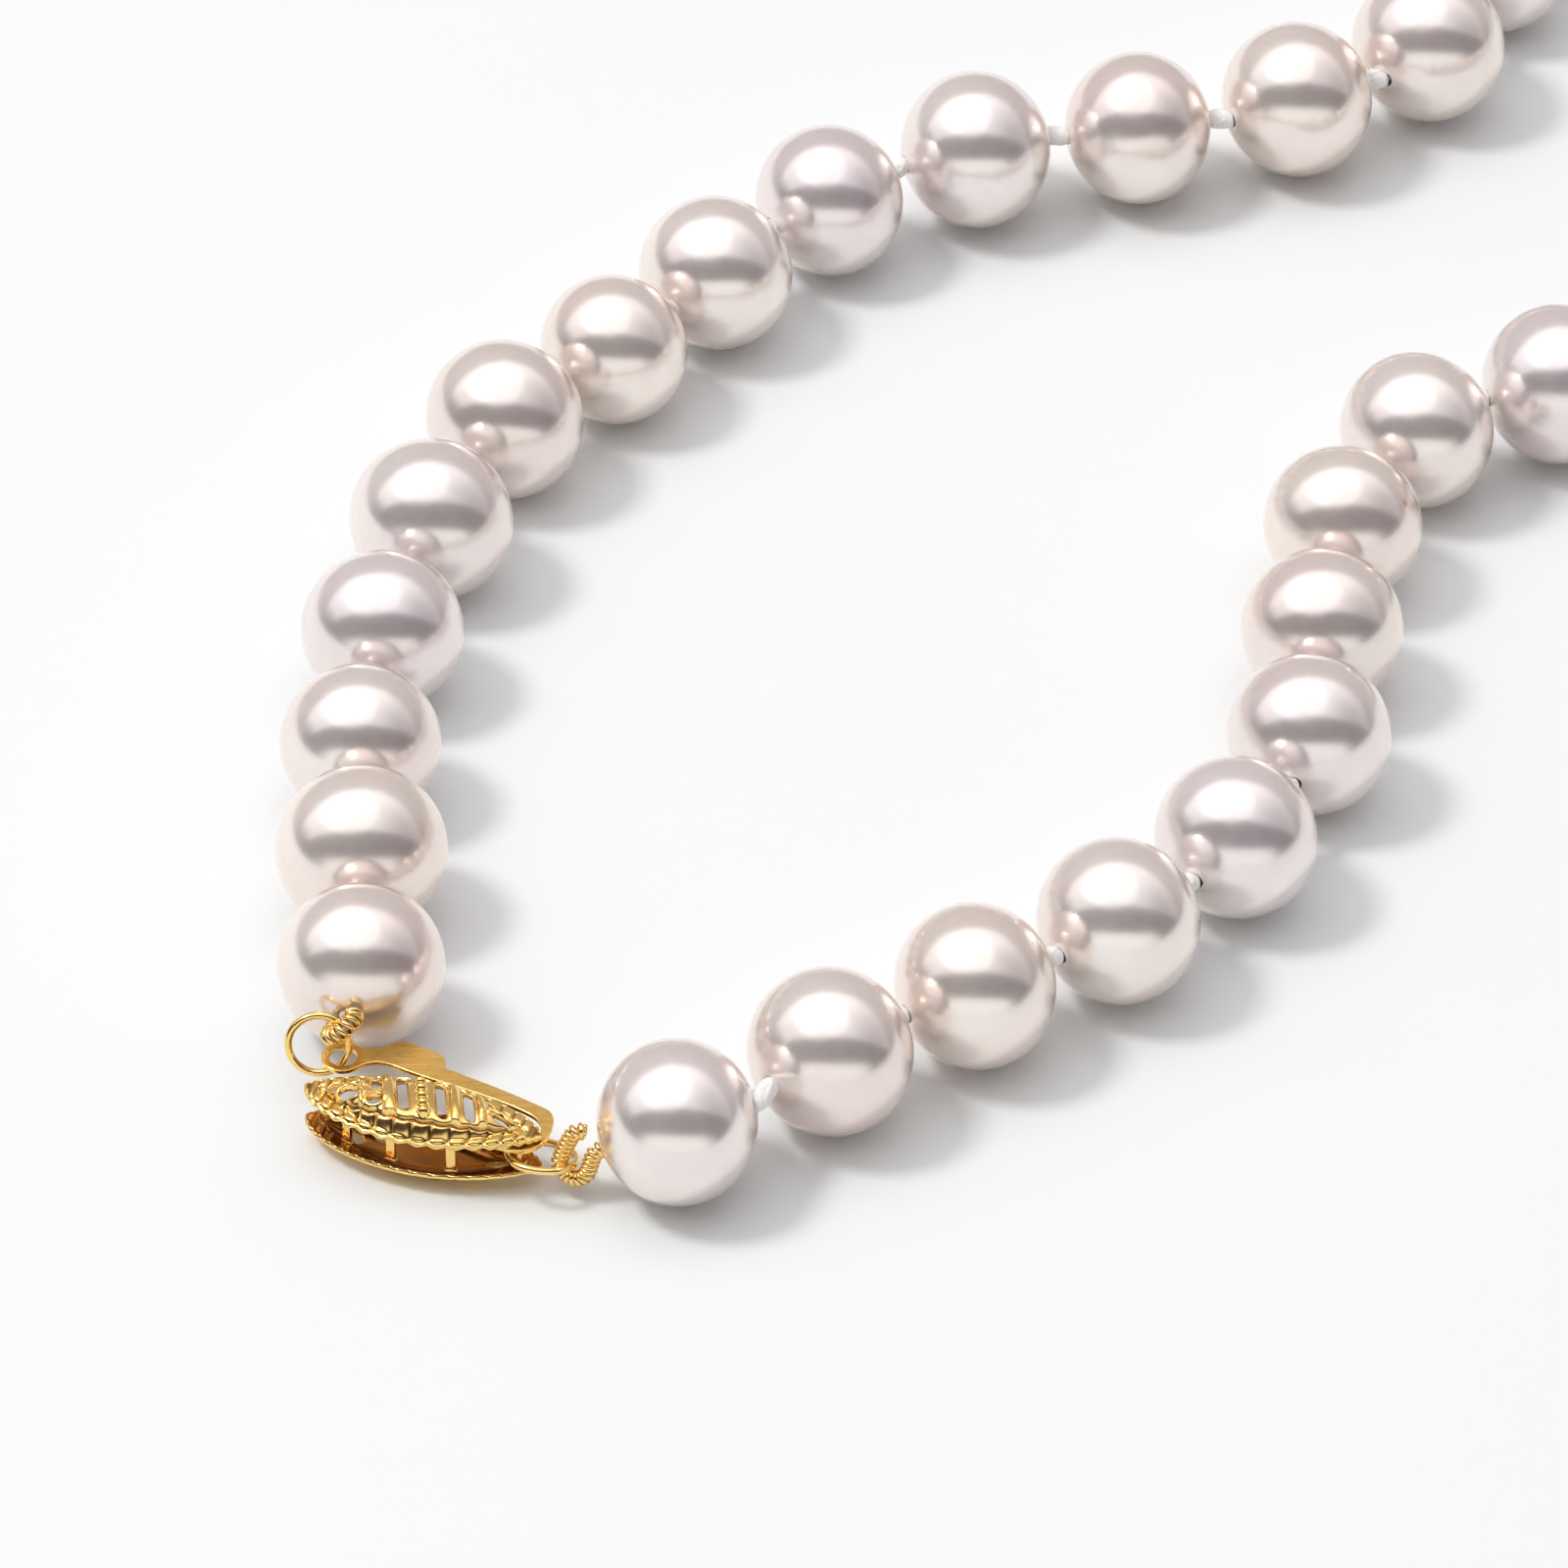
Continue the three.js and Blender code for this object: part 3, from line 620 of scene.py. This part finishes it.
def plate_field(x, y, top):
    """(distance into the metal, height of the middle surface over the rim, extra relief on the outer face)"""
    t = np.arccos(np.clip(-x / L_HALF, -1, 1)) / math.pi
    wave = np.sin(FLUTES * math.pi * t)
    lobe = np.abs(wave)
    near, far = side_width(NEAR_SIDE, x), side_width(FAR_SIDE, x)
    w = np.where(y < 0, near, far) + 0.04 + 0.09 * lobe
    slope = np.abs(np.where(y < 0, side_width(NEAR_SIDE, x + 0.02) - side_width(NEAR_SIDE, x - 0.02),
                            side_width(FAR_SIDE, x + 0.02) - side_width(FAR_SIDE, x - 0.02))) / 0.04
    slope = np.minimum(slope, 3.0)
    d = (w - np.abs(y)) / np.sqrt(1 + slope ** 2)
    tip = L_HALF + 0.05 - np.abs(x)
    d = np.minimum(d, tip)
    if top:
        openings = [
            oval_at(x, y, -3.65, -0.62, 0.5, 0.3, 0.05), oval_at(x, y, -3.75, 0.3, 0.36, 0.24, 0.3),
            oval_at(x, y, -2.22, -0.95, 0.32, 0.24, 0.1), slot_at(x, y, -2.62, 0.46, 0.42, 0.38),
            slot_at(x, y, -1.1, 1.16, 0.5, 0.02), slot_at(x, y, 0.95, 1.09, 0.46, -0.03),
            slot_at(x, y, 2.38, 0.86, 0.5, 0.06),
            oval_at(x, y, 3.55, 0.52, 0.4, 0.13, -0.35), oval_at(x, y, 4.1, -0.12, 0.45, 0.12, -0.1),
        ]
    else:
        openings = [
            oval_at(x, y, -3.65, -0.2, 0.5, 0.34, 0.05), oval_at(x, y, -2.3, 0.5, 0.36, 0.3, 0.1),
            oval_at(x, y, 3.9, 0.0, 0.5, 0.14, 0.0),
        ]
    d_open = openings[0]
    for o in openings[1:]:
        d_open = np.minimum(d_open, o)
    dd = smin(d, d_open, 0.05)
    rise = soft_dome(x, y)
    # fluted border: a row of separate pillows between the thin rim and the openwork
    edge = d
    across = np.clip((edge - 0.14) / 0.66, 0, 1) * 2 - 1
    along = np.clip(1 - np.abs(np.cos(FLUTES * math.pi * t)) ** 7, 0, 1)
    cell = np.clip(1 - across ** 4, 0, 1) ** 0.7 * along ** 0.7
    wide = smooth_step(near + far, 0.9, 1.8)
    relief = 0.15 * cell * wide
    # grooves inside and outside the border
    relief -= 0.08 * np.exp(-((edge - 0.86) / 0.07) ** 2) * smooth_step(near + far, 1.6, 2.6)
    relief -= 0.06 * np.exp(-((edge - 0.13) / 0.05) ** 2)
    inner = smooth_step(edge, 0.82, 1.0)
    # crowned metal between the openings
    relief += 0.10 * (1 - np.exp(-np.maximum(d_open, 0) / 0.16)) * inner
    if top:
        # the bars: half-round ribs that lean across the case
        for x0, half in ((-3.36, 0.10), (-1.86, 0.36), (1.66, 0.27), (3.08, 0.22)):
            u = (x - x0 - BAR_SLANT * y) / half
            relief += (0.14 + 0.26 * half) * np.sqrt(np.clip(1 - u * u, 0, 1)) * inner
        # scrolls: a raised ring round each loop
        for cx, cy, rx, ry in ((-3.65, -0.62, 0.5, 0.3), (-3.75, 0.3, 0.36, 0.24), (-2.22, -0.95, 0.32, 0.24)):
            dist = sd_oval(x, y, cx, cy, rx, ry, 0.1)
            relief += 0.12 * np.exp(-((dist - 0.14) / 0.10) ** 2) * smooth_step(edge, 0.5, 0.8)
        # leaf: a raised tongue with a vein, between its slits
        u = (y - 0.14 + 0.05 * (x - 3.4)) / 0.34
        leaf = np.sqrt(np.clip(1 - u * u, 0, 1)) * smooth_step(x, 3.1, 3.5) * (1 - smooth_step(x, 4.7, 5.3))
        relief += 0.13 * leaf
        relief -= 0.07 * np.exp(-(u / 0.16) ** 2) * smooth_step(x, 3.2, 3.5) * (1 - smooth_step(x, 4.5, 5.0))
        for k in range(5):           # the beaded column
            by = -1.2 + 0.52 * k
            bx = -0.06 + BAR_SLANT * by
            q = ((x - bx) / 0.33) ** 2 + ((y - by) / 0.27) ** 2
            relief += np.where(q < 1, 0.36 * np.sqrt(np.clip(1 - q, 0, 1)), 0)
    # a gentle ripple of the rim, up and down
    rim = 1 - smooth_step(edge, 0.0, 0.25)
    rise = rise + 0.05 * rim * np.cos(2 * FLUTES * math.pi * t) * wide
    return dd, rise, relief


def sheet_mesh(top, cell=0.04):
    xs = np.arange(-L_HALF - 0.25, L_HALF + 0.25 + cell, cell)
    ys = np.arange(-NEAR_SIDE[0] - 0.35, FAR_SIDE[0] + 0.35 + cell, cell)
    X, Y = np.meshgrid(xs, ys, indexing="ij")
    D = plate_field(X, Y, top)[0]
    D = np.where(np.abs(D) < 1e-4, 1e-4, D)
    inside = D > 0
    vid, pts, polys = {}, [], []

    def corner(i, j):
        k = ("c", i, j)
        if k not in vid:
            vid[k] = len(pts)
            pts.append((xs[i], ys[j]))
        return vid[k]

    def cut(i, j, i2, j2):
        k = ("e", min(i, i2), min(j, j2), i != i2)
        if k not in vid:
            a, b = D[i, j], D[i2, j2]
            f = min(0.94, max(0.06, a / (a - b)))
            vid[k] = len(pts)
            pts.append((xs[i] + (xs[i2] - xs[i]) * f, ys[j] + (ys[j2] - ys[j]) * f))
        return vid[k]

    for i in range(len(xs) - 1):
        for j in range(len(ys) - 1):
            ring = [(i, j), (i + 1, j), (i + 1, j + 1), (i, j + 1)]
            s = [inside[a] for a in ring]
            if not any(s):
                continue
            poly = []
            for k in range(4):
                a, b = ring[k], ring[(k + 1) % 4]
                if s[k]:
                    poly.append(corner(*a))
                if s[k] != s[(k + 1) % 4]:
                    lo, hi = (a, b) if inside[a] else (b, a)
                    poly.append(cut(*a, *b) if a < b else cut(*b, *a))
            if len(poly) >= 3:
                polys.append(poly)
    P = np.array(pts)
    edge_flag = np.array([k[0] == "e" for k in vid], bool)
    d, rise, relief = plate_field(P[:, 0], P[:, 1], top)
    d = np.where(edge_flag, 0.0, np.maximum(d, 0.0))
    rho = 0.13
    k = np.clip(d / rho, 0, 1)
    h = PLATE / 2 * np.sqrt(np.clip(1 - (1 - k) ** 2, 0, 1))
    relief = relief * smooth_step(d, 0.0, 0.12)
    if top:
        mid = HIGH_RIM[0] + PLATE / 2 + rise
        outer, inner = mid + h + relief, mid - h + relief * 0.45
    else:
        mid = LOW_RIM[0] + PLATE / 2 - rise
        outer, inner = mid - h - relief * 0.4, mid + h - relief * 0.3
    n = len(P)
    verts = np.vstack([np.column_stack([P, outer]), np.column_stack([P, inner])])
    index = np.concatenate([np.arange(n), np.where(edge_flag, np.arange(n), np.arange(n) + n)])
    faces = []
    for q in polys:
        a = q if top else q[::-1]
        faces.append(tuple(a))
        faces.append(tuple(int(index[v + n]) for v in a[::-1]))
    # weld the two skins along every edge, and drop what isn't used
    verts[:n][edge_flag, 2] = mid[edge_flag]
    used = np.zeros(2 * n, bool)
    for f in faces:
        for v in f:
            used[v] = True
    remap = np.cumsum(used) - 1
    faces = [tuple(int(remap[v]) for v in f) for f in faces]
    # painted shade: the lower a point of the outer skin lies beside the relief round it, the more dark brown is painted
    # there; the inner skin is painted as nearly all in shade
    painted_shade = np.clip(1 - relief / 0.07, 0, 1) * smooth_step(d, 0.14, 0.24) * (0.8 if top else 0.25)
    painted_recess_shade = np.concatenate([painted_shade, 0.92 * smooth_step(d, 0.02, 0.16)])
    painted_recess_shade[:n][edge_flag] = 0.0
    return verts[used], faces, painted_recess_shade[used]


for top, name in ((True, "case_top_plate"), (False, "case_bottom_plate")):
    verts, faces, painted_recess_shade = sheet_mesh(top)
    ob = piece(name + "_filigree", clasp_to_row(verts), faces, [GOLD], "case")
    # the painted shade amounts go onto the plate as a point attribute that the gold material reads
    at = ob.data.attributes.new("painted_recess_shade", "FLOAT", "POINT")
    at.data.foreach_set("value", painted_recess_shade.astype(np.float32))
    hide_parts(name)


# ---------------------------------------------------------------- posts, with solder fillets at both ends
def post_mesh(outline, z0, z1, fillet=0.16, steps=7):
    """A post whose outline flares into a small fillet at each end."""
    o = np.asarray(outline, float)
    c = o.mean(0)
    rows = []
    for k in range(steps + 1):
        a = k / steps
        rows.append((z0 + fillet * a, fillet * (1 - math.sqrt(1 - (1 - a) ** 2)) * 0.75))
    rows += [(z0 + fillet + (z1 - z0 - 2 * fillet) * k / 4, 0.0) for k in range(1, 4)]
    rows += [(z0 + z1 - z, g) for z, g in reversed(rows[: steps + 1])]
    direction = o - c
    direction /= np.linalg.norm(direction, axis=1)[:, None]
    verts = []
    for z, g in rows:
        for q, dd in zip(o, direction):
            verts.append((q[0] + dd[0] * g, q[1] + dd[1] * g, z))
    m = len(o)
    faces = []
    for i in range(len(rows) - 1):
        for k in range(m):
            j = (k + 1) % m
            faces.append((i * m + k, i * m + j, (i + 1) * m + j, (i + 1) * m + k))
    base = len(verts)
    verts += [(c[0], c[1], rows[0][0]), (c[0], c[1], rows[-1][0])]
    last = (len(rows) - 1) * m
    for k in range(m):
        j = (k + 1) % m
        faces.append((base, j, k))
        faces.append((base + 1, last + k, last + j))
    return np.array(verts), faces


def rounded_rect(hx, hy, r, n=5):
    pts = []
    for cx, cy, a0 in ((hx - r, hy - r, 0), (-hx + r, hy - r, 90), (-hx + r, -hy + r, 180), (hx - r, -hy + r, 270)):
        for k in range(n + 1):
            a = math.radians(a0 + 90 * k / n)
            pts.append((cx + r * math.cos(a), cy + r * math.sin(a)))
    return np.array(pts)


for i, (x, y) in enumerate([(-3.6, -1.23), (-1.1, -1.8), (2.0, -1.66)]):
    o = rounded_rect(0.25, 0.12, 0.05)
    a = x * 0.11
    o = np.stack([o[:, 0] * math.cos(a) - o[:, 1] * math.sin(a) + x, o[:, 0] * math.sin(a) + o[:, 1] * math.cos(a) + y], 1)
    verts, faces = post_mesh(o, LOW_RIM[1] + 0.0, HIGH_RIM[0] - 0.0)
    ob = piece(f"side_post_{i + 1}_strip", clasp_to_row(verts), faces, [GOLD], "case")
    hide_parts(f"side_post_{i + 1}")
a = np.arange(28) * 2 * math.pi / 28
o = np.stack([5.0 + 0.32 * np.cos(a), 0.32 * np.sin(a)], 1)
verts, faces = post_mesh(o, LOW_RIM[1] - 0.02, HIGH_RIM[0] + 0.02, 0.2)
ob = piece("end_post_turned", clasp_to_row(verts), faces, [GOLD], "case")
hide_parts("end_post")

# ---------------------------------------------------------------- hook: a flat stamping with softened edges
EX, EY, HOLE_R = -5.3, 2.92, 0.7
hook_pts = [(EX + 1.1 * math.cos(math.radians(58 + i * 267 / 12)), EY + 1.1 * math.sin(math.radians(58 + i * 267 / 12))) for i in range(13)]
hook_pts += [
    (-4.04, 2.72), (-3.59, 3.02), (-2.93, 3.08), (-2.1, 2.94), (-1.0, 2.76), (0.2, 2.62), (2.6, 2.3), (4.4, 1.92),
    (5.3, 1.58), (5.78, 1.08), (5.9, 0.45), (5.7, -0.06), (5.3, -0.4), (4.9, -0.5), (3.4, -0.46),
    (2.75, -0.42), (2.42, -0.78), (2.75, -1.08), (3.4, -1.02), (5.0, -1.04), (5.65, -0.88),
    (6.1, -0.42), (6.36, 0.3), (6.38, 1.1), (6.2, 1.82), (5.85, 2.28), (5.1, 2.53), (3.4, 2.97), (2.2, 3.23),
    (0.5, 3.56), (-0.14, 3.7), (-0.24, 4.02), (-0.5, 4.42), (-1.0, 4.67), (-1.72, 4.8), (-2.46, 4.95),
    (-3.05, 4.85), (-3.45, 4.42), (-3.92, 4.02), (-4.35, 3.86),
]
outline = smooth_curve(np.array(hook_pts), 360, closed=True)


def stamped(name, outer, holes, z0, z1, bevel, mats, body):
    """A flat blank with rounded edges, from a filled outline with holes. Its flat faces take the second material."""
    cu = bpy.data.curves.new(name, "CURVE")
    cu.dimensions = "2D"
    cu.fill_mode = "BOTH"
    cu.extrude = ((z1 - z0) / 2 - bevel) * MM
    cu.bevel_depth = bevel * MM
    cu.bevel_resolution = 3
    cu.offset = -bevel * MM
    for loop in [outer, *holes]:
        sp = cu.splines.new("POLY")
        sp.points.add(len(loop) - 1)
        for k, q in enumerate(loop):
            sp.points[k].co = (q[0] * MM, q[1] * MM, 0, 1)
        sp.use_cyclic_u = True
    tmp = bpy.data.objects.new(name + "_tmp", cu)
    bpy.context.scene.collection.objects.link(tmp)
    bpy.context.view_layer.update()
    me = bpy.data.meshes.new_from_object(tmp.evaluated_get(bpy.context.evaluated_depsgraph_get()))
    bpy.data.objects.remove(tmp)
    co = np.array([v.co for v in me.vertices], float) / MM
    co[:, 2] += (z0 + z1) / 2
    co = clasp_to_row(co) * MM
    me.vertices.foreach_set("co", co.astype(np.float32).ravel())
    me.update()
    import bmesh
    bm = bmesh.new()
    bm.from_mesh(me)
    bmesh.ops.remove_doubles(bm, verts=bm.verts, dist=1e-7)
    bmesh.ops.recalc_face_normals(bm, faces=bm.faces)
    bm.to_mesh(me)
    bm.free()
    me.materials.clear()
    for mt in mats:
        me.materials.append(mt)
    for f in me.polygons:
        flat = abs(f.normal.z) > 0.999
        f.use_smooth = not flat
        f.material_index = 1 if flat else 0
    ob = bpy.data.objects.new(name, me)
    bpy.context.scene.collection.objects.link(ob)
    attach(ob, body)
    return ob


a = -np.arange(48) * 2 * math.pi / 48
eye_hole = np.stack([EX + HOLE_R * np.cos(a), EY + HOLE_R * np.sin(a)], 1)
ob = stamped("hook_stamping", outline, [eye_hole], 2.6, 2.86, 0.05, [GOLD, SATIN], "hook")
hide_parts("hook")


# ---------------------------------------------------------------- jump rings and French wire
def direction_in_row(v):
    c, s = math.cos(CLASP_TURN), math.sin(CLASP_TURN)
    return np.array([c * v[0] - s * v[1], s * v[0] + c * v[1], v[2]])


def ring_piece(name, centre, u, v, radius, node_name, body, seam):
    t = np.arange(160) * 2 * math.pi / 160
    path = centre + radius * (np.cos(t)[:, None] * u + np.sin(t)[:, None] * v)
    # a hair of swelling where the ring was soldered shut, and the slight flats left by filing it
    r = 0.2 + 0.012 * np.exp(-(((t - seam + math.pi) % (2 * math.pi) - math.pi) / 0.10) ** 2) - 0.003 * np.cos(5 * t + seam)
    verts, faces = tube(path, r, 20, closed=True)
    ob = piece(name, verts, faces, [GOLD_WIRE], body)
    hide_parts(node_name)


eye = clasp_to_row([EX, EY, 2.73])
leftU, leftV = np.array([1.0, 0, 0]), unit([0, 0.35, 0.937])
leftN = np.cross(leftU, leftV)
leftC = eye + leftU * -1.2 + leftV * 0.78 + leftN * 0.12
tilt = math.radians(18)
rightC = clasp_to_row([6.18, 0, 1.85])
rightU = direction_in_row([1, 0, 0])
rightV = direction_in_row([0, math.cos(tilt), -math.sin(tilt)])
ring_piece("jump_ring_left_wire", leftC, leftU, leftV, 1.53, "jump_ring_left", "ring_left", 2.4)
ring_piece("jump_ring_right_wire", rightC, rightU, rightV, 1.72, "jump_ring_right", "ring_right", -0.9)


def gimp_piece(name, c, u, v, radius, angle, p, node_name, body, coil_r, wire_r):
    """French wire: a close coil of fine wire that covers the silk round the ring."""
    a = math.radians(angle)
    wire = c + u * radius * math.cos(a) + v * radius * math.sin(a)
    tangent = -u * math.sin(a) + v * math.cos(a)
    out, hole = -p["dir"], p["start"]
    g = hole - wire
    g = unit(g - tangent * (g @ tangent))
    b = unit(np.cross(tangent, g))
    reach = np.linalg.norm(hole - wire)
    foot = lambda s: hole + out * 0.28 + b * s * 0.62
    neck = lambda s: foot(s) + out * 0.22 * reach + b * s * 0.5 * 0.16
    flank = lambda s: wire + b * s * 0.78
    turn = lambda s, t: wire + b * s * 0.78 * math.cos(t) - g * 0.78 * math.sin(t)
    line = smooth_curve([foot(1), neck(1), flank(1), turn(1, math.pi / 4), turn(1, math.pi / 2), turn(-1, math.pi / 4), flank(-1), neck(-1), foot(-1)], 900)
    s = np.concatenate([[0], np.cumsum(np.linalg.norm(np.diff(line, axis=0), axis=1))])
    pitch = 2.02 * wire_r
    _, e1, e2 = frames(line)
    turns = s[-1] / pitch
    count = int(turns * 22)
    want = np.linspace(0, s[-1], count)
    take = lambda arr: np.stack([np.interp(want, s, arr[:, k]) for k in range(3)], 1)
    cen, a1, a2 = take(line), take(e1), take(e2)
    w = want / pitch * 2 * math.pi
    q = cen + coil_r * (a1 * np.cos(w)[:, None] + a2 * np.sin(w)[:, None])
    coil = tube(q, wire_r, 10)
    # the doubled silk inside the coil
    core = tube(smooth_curve(line[::60], 80), 0.17, 10)
    verts, faces = joined([coil, core])
    mats = [0] * len(coil[1]) + [1] * len(core[1])
    ob = piece(name, verts, faces, [GOLD_WIRE, SILK], body, face_mats=mats)
    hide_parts(node_name)


gimp_piece("french_wire_left_coil", leftC, leftU, leftV, 1.53, 40, left[0], "french_wire_left", "left_01", 0.375, 0.145)
gimp_piece("french_wire_right_coil", rightC, rightU, rightV, 1.72, 0, right[0], "french_wire_right", "right_01", 0.325, 0.13)

# ---------------------------------------------------------------- floor, light and camera
me = bpy.data.meshes.new("floor")
S = 6.0
me.from_pydata([(-S, -S, 0), (S, -S, 0), (S, S, 0), (-S, S, 0)], [], [(0, 1, 2, 3)])
floor = bpy.data.objects.new("floor", me)
bpy.context.scene.collection.objects.link(floor)
floor.location.z = -0.00002
fm, nt, b = material("floor")
b.inputs["Base Color"].default_value = (0.875, 0.90, 0.90, 1)
b.inputs["Roughness"].default_value = 0.85
b.inputs["Specular IOR Level"].default_value = 0.2
me.materials.append(fm)

world = bpy.data.worlds.new("studio")
bpy.context.scene.world = world
world.use_nodes = True
nt = world.node_tree
bg = nt.nodes["Background"]
tc = nt.nodes.new("ShaderNodeTexCoord")
sep = nt.nodes.new("ShaderNodeSeparateXYZ")
nt.links.new(tc.outputs["Generated"], sep.inputs[0])


def math_node(op, a, b=None, c=None, clamp=False):
    n = nt.nodes.new("ShaderNodeMath")
    n.operation = op
    n.use_clamp = clamp
    for k, v in enumerate((a, b, c)):
        if v is None:
            continue
        if isinstance(v, (int, float)):
            n.inputs[k].default_value = v
        else:
            nt.links.new(v, n.inputs[k])
    return n.outputs[0]


def smooth_between(v, lo, hi, a=0.0, b=1.0):
    n = nt.nodes.new("ShaderNodeMapRange")
    n.interpolation_type = "SMOOTHSTEP"
    nt.links.new(v, n.inputs["Value"])
    for k, x in (("From Min", lo), ("From Max", hi), ("To Min", a), ("To Max", b)):
        n.inputs[k].default_value = x
    return n.outputs["Result"]


X, Y, Z = sep.outputs
BOX_LEVEL = 1.15
up = math_node("MAXIMUM", Z, 0.02)
toward = math_node("DIVIDE", math_node("MULTIPLY", Y, -1.0), up)
above = smooth_between(Z, 0.0, 0.06)
# a long softbox overhead, brighter on the left, with a fairly crisp front edge
box_in = math_node("MULTIPLY", smooth_between(toward, 0.50, 0.66, 1.0, 0.0), smooth_between(math_node("DIVIDE", Y, up), 0.55, 0.95, 1.0, 0.0))
box_in = math_node("MULTIPLY", box_in, smooth_between(X, -0.99, -0.90))
box = math_node("MULTIPLY", math_node("MULTIPLY", box_in, above), smooth_between(X, 0.30, 0.95, 1.0, 0.38))
# a round diffuser a little left of the zenith, with a cleaner edge
dv = nt.nodes.new("ShaderNodeVectorMath")
dv.operation = "DOT_PRODUCT"
nt.links.new(tc.outputs["Generated"], dv.inputs[0])
dv.inputs[1].default_value = tuple(unit([-0.20, -0.02, 0.97]))
disc = smooth_between(dv.outputs["Value"], math.cos(math.radians(35)), math.cos(math.radians(32)))
# a pale oval card low in front
kx = math_node("DIVIDE", X, 0.84)
kz = math_node("DIVIDE", math_node("SUBTRACT", Z, 0.07), 0.34)
kr = math_node("SQRT", math_node("ADD", math_node("MULTIPLY", kx, kx), math_node("MULTIPLY", kz, kz)))
card = math_node("MULTIPLY", smooth_between(kr, 0.74, 1.08, 1.0, 0.0), smooth_between(Y, -0.20, -0.45))
# the room: dark and mauve in front, lighter and warmer at the back
front = smooth_between(Y, 0.6, -0.2)
back = math_node("SUBTRACT", 1.0, front)
terms = [(front, (0.10, 0.078, 0.095)), (back, (0.74, 0.68, 0.69)), (box, (BOX_LEVEL, BOX_LEVEL, BOX_LEVEL * 1.02)), (disc, (0.62, 0.63, 0.60)), (card, (1.42, 1.46, 1.38))]
total = None
for value, colour in terms:
    n = nt.nodes.new("ShaderNodeVectorMath")
    n.operation = "SCALE"
    n.inputs[0].default_value = colour
    nt.links.new(value, n.inputs["Scale"])
    if total is None:
        total = n.outputs["Vector"]
    else:
        s = nt.nodes.new("ShaderNodeVectorMath")
        s.operation = "ADD"
        nt.links.new(total, s.inputs[0])
        nt.links.new(n.outputs["Vector"], s.inputs[1])
        total = s.outputs["Vector"]
nt.links.new(total, bg.inputs["Color"])
bg.inputs["Strength"].default_value = 0.69

# the key light, from the left, about 59 degrees up
key = bpy.data.lights.new("key", "AREA")
key.shape = "DISK"
key.size = 0.30
key.energy = 5.6
key.color = (1.0, 0.995, 0.985)
ko = bpy.data.objects.new("key", key)
bpy.context.scene.collection.objects.link(ko)
aim = Vector((-0.045, -0.03, 0.0))
ko.location = aim + Vector((-0.515, 0.02, 0.857)) * 1.25
ko.rotation_mode = "QUATERNION"
ko.rotation_quaternion = (aim - ko.location).to_track_quat("-Z", "Y")

bpy.context.scene.view_settings.view_transform = "Standard"

E = math.radians(40.44788)
D = 0.624692
cam = bpy.data.cameras.new("camera")
cam.sensor_width = 36.0
cam.lens = 36.0 * 12348.66 / 1600
cam.clip_start, cam.clip_end = 0.05, 50
co = bpy.data.objects.new("camera", cam)
bpy.context.scene.collection.objects.link(co)
co.location = (-ORIGIN[0] * MM, -ORIGIN[1] * MM - D * math.cos(E), D * math.sin(E))
co.rotation_euler = (math.pi / 2 - E, 0, 0)
bpy.context.scene.camera = co
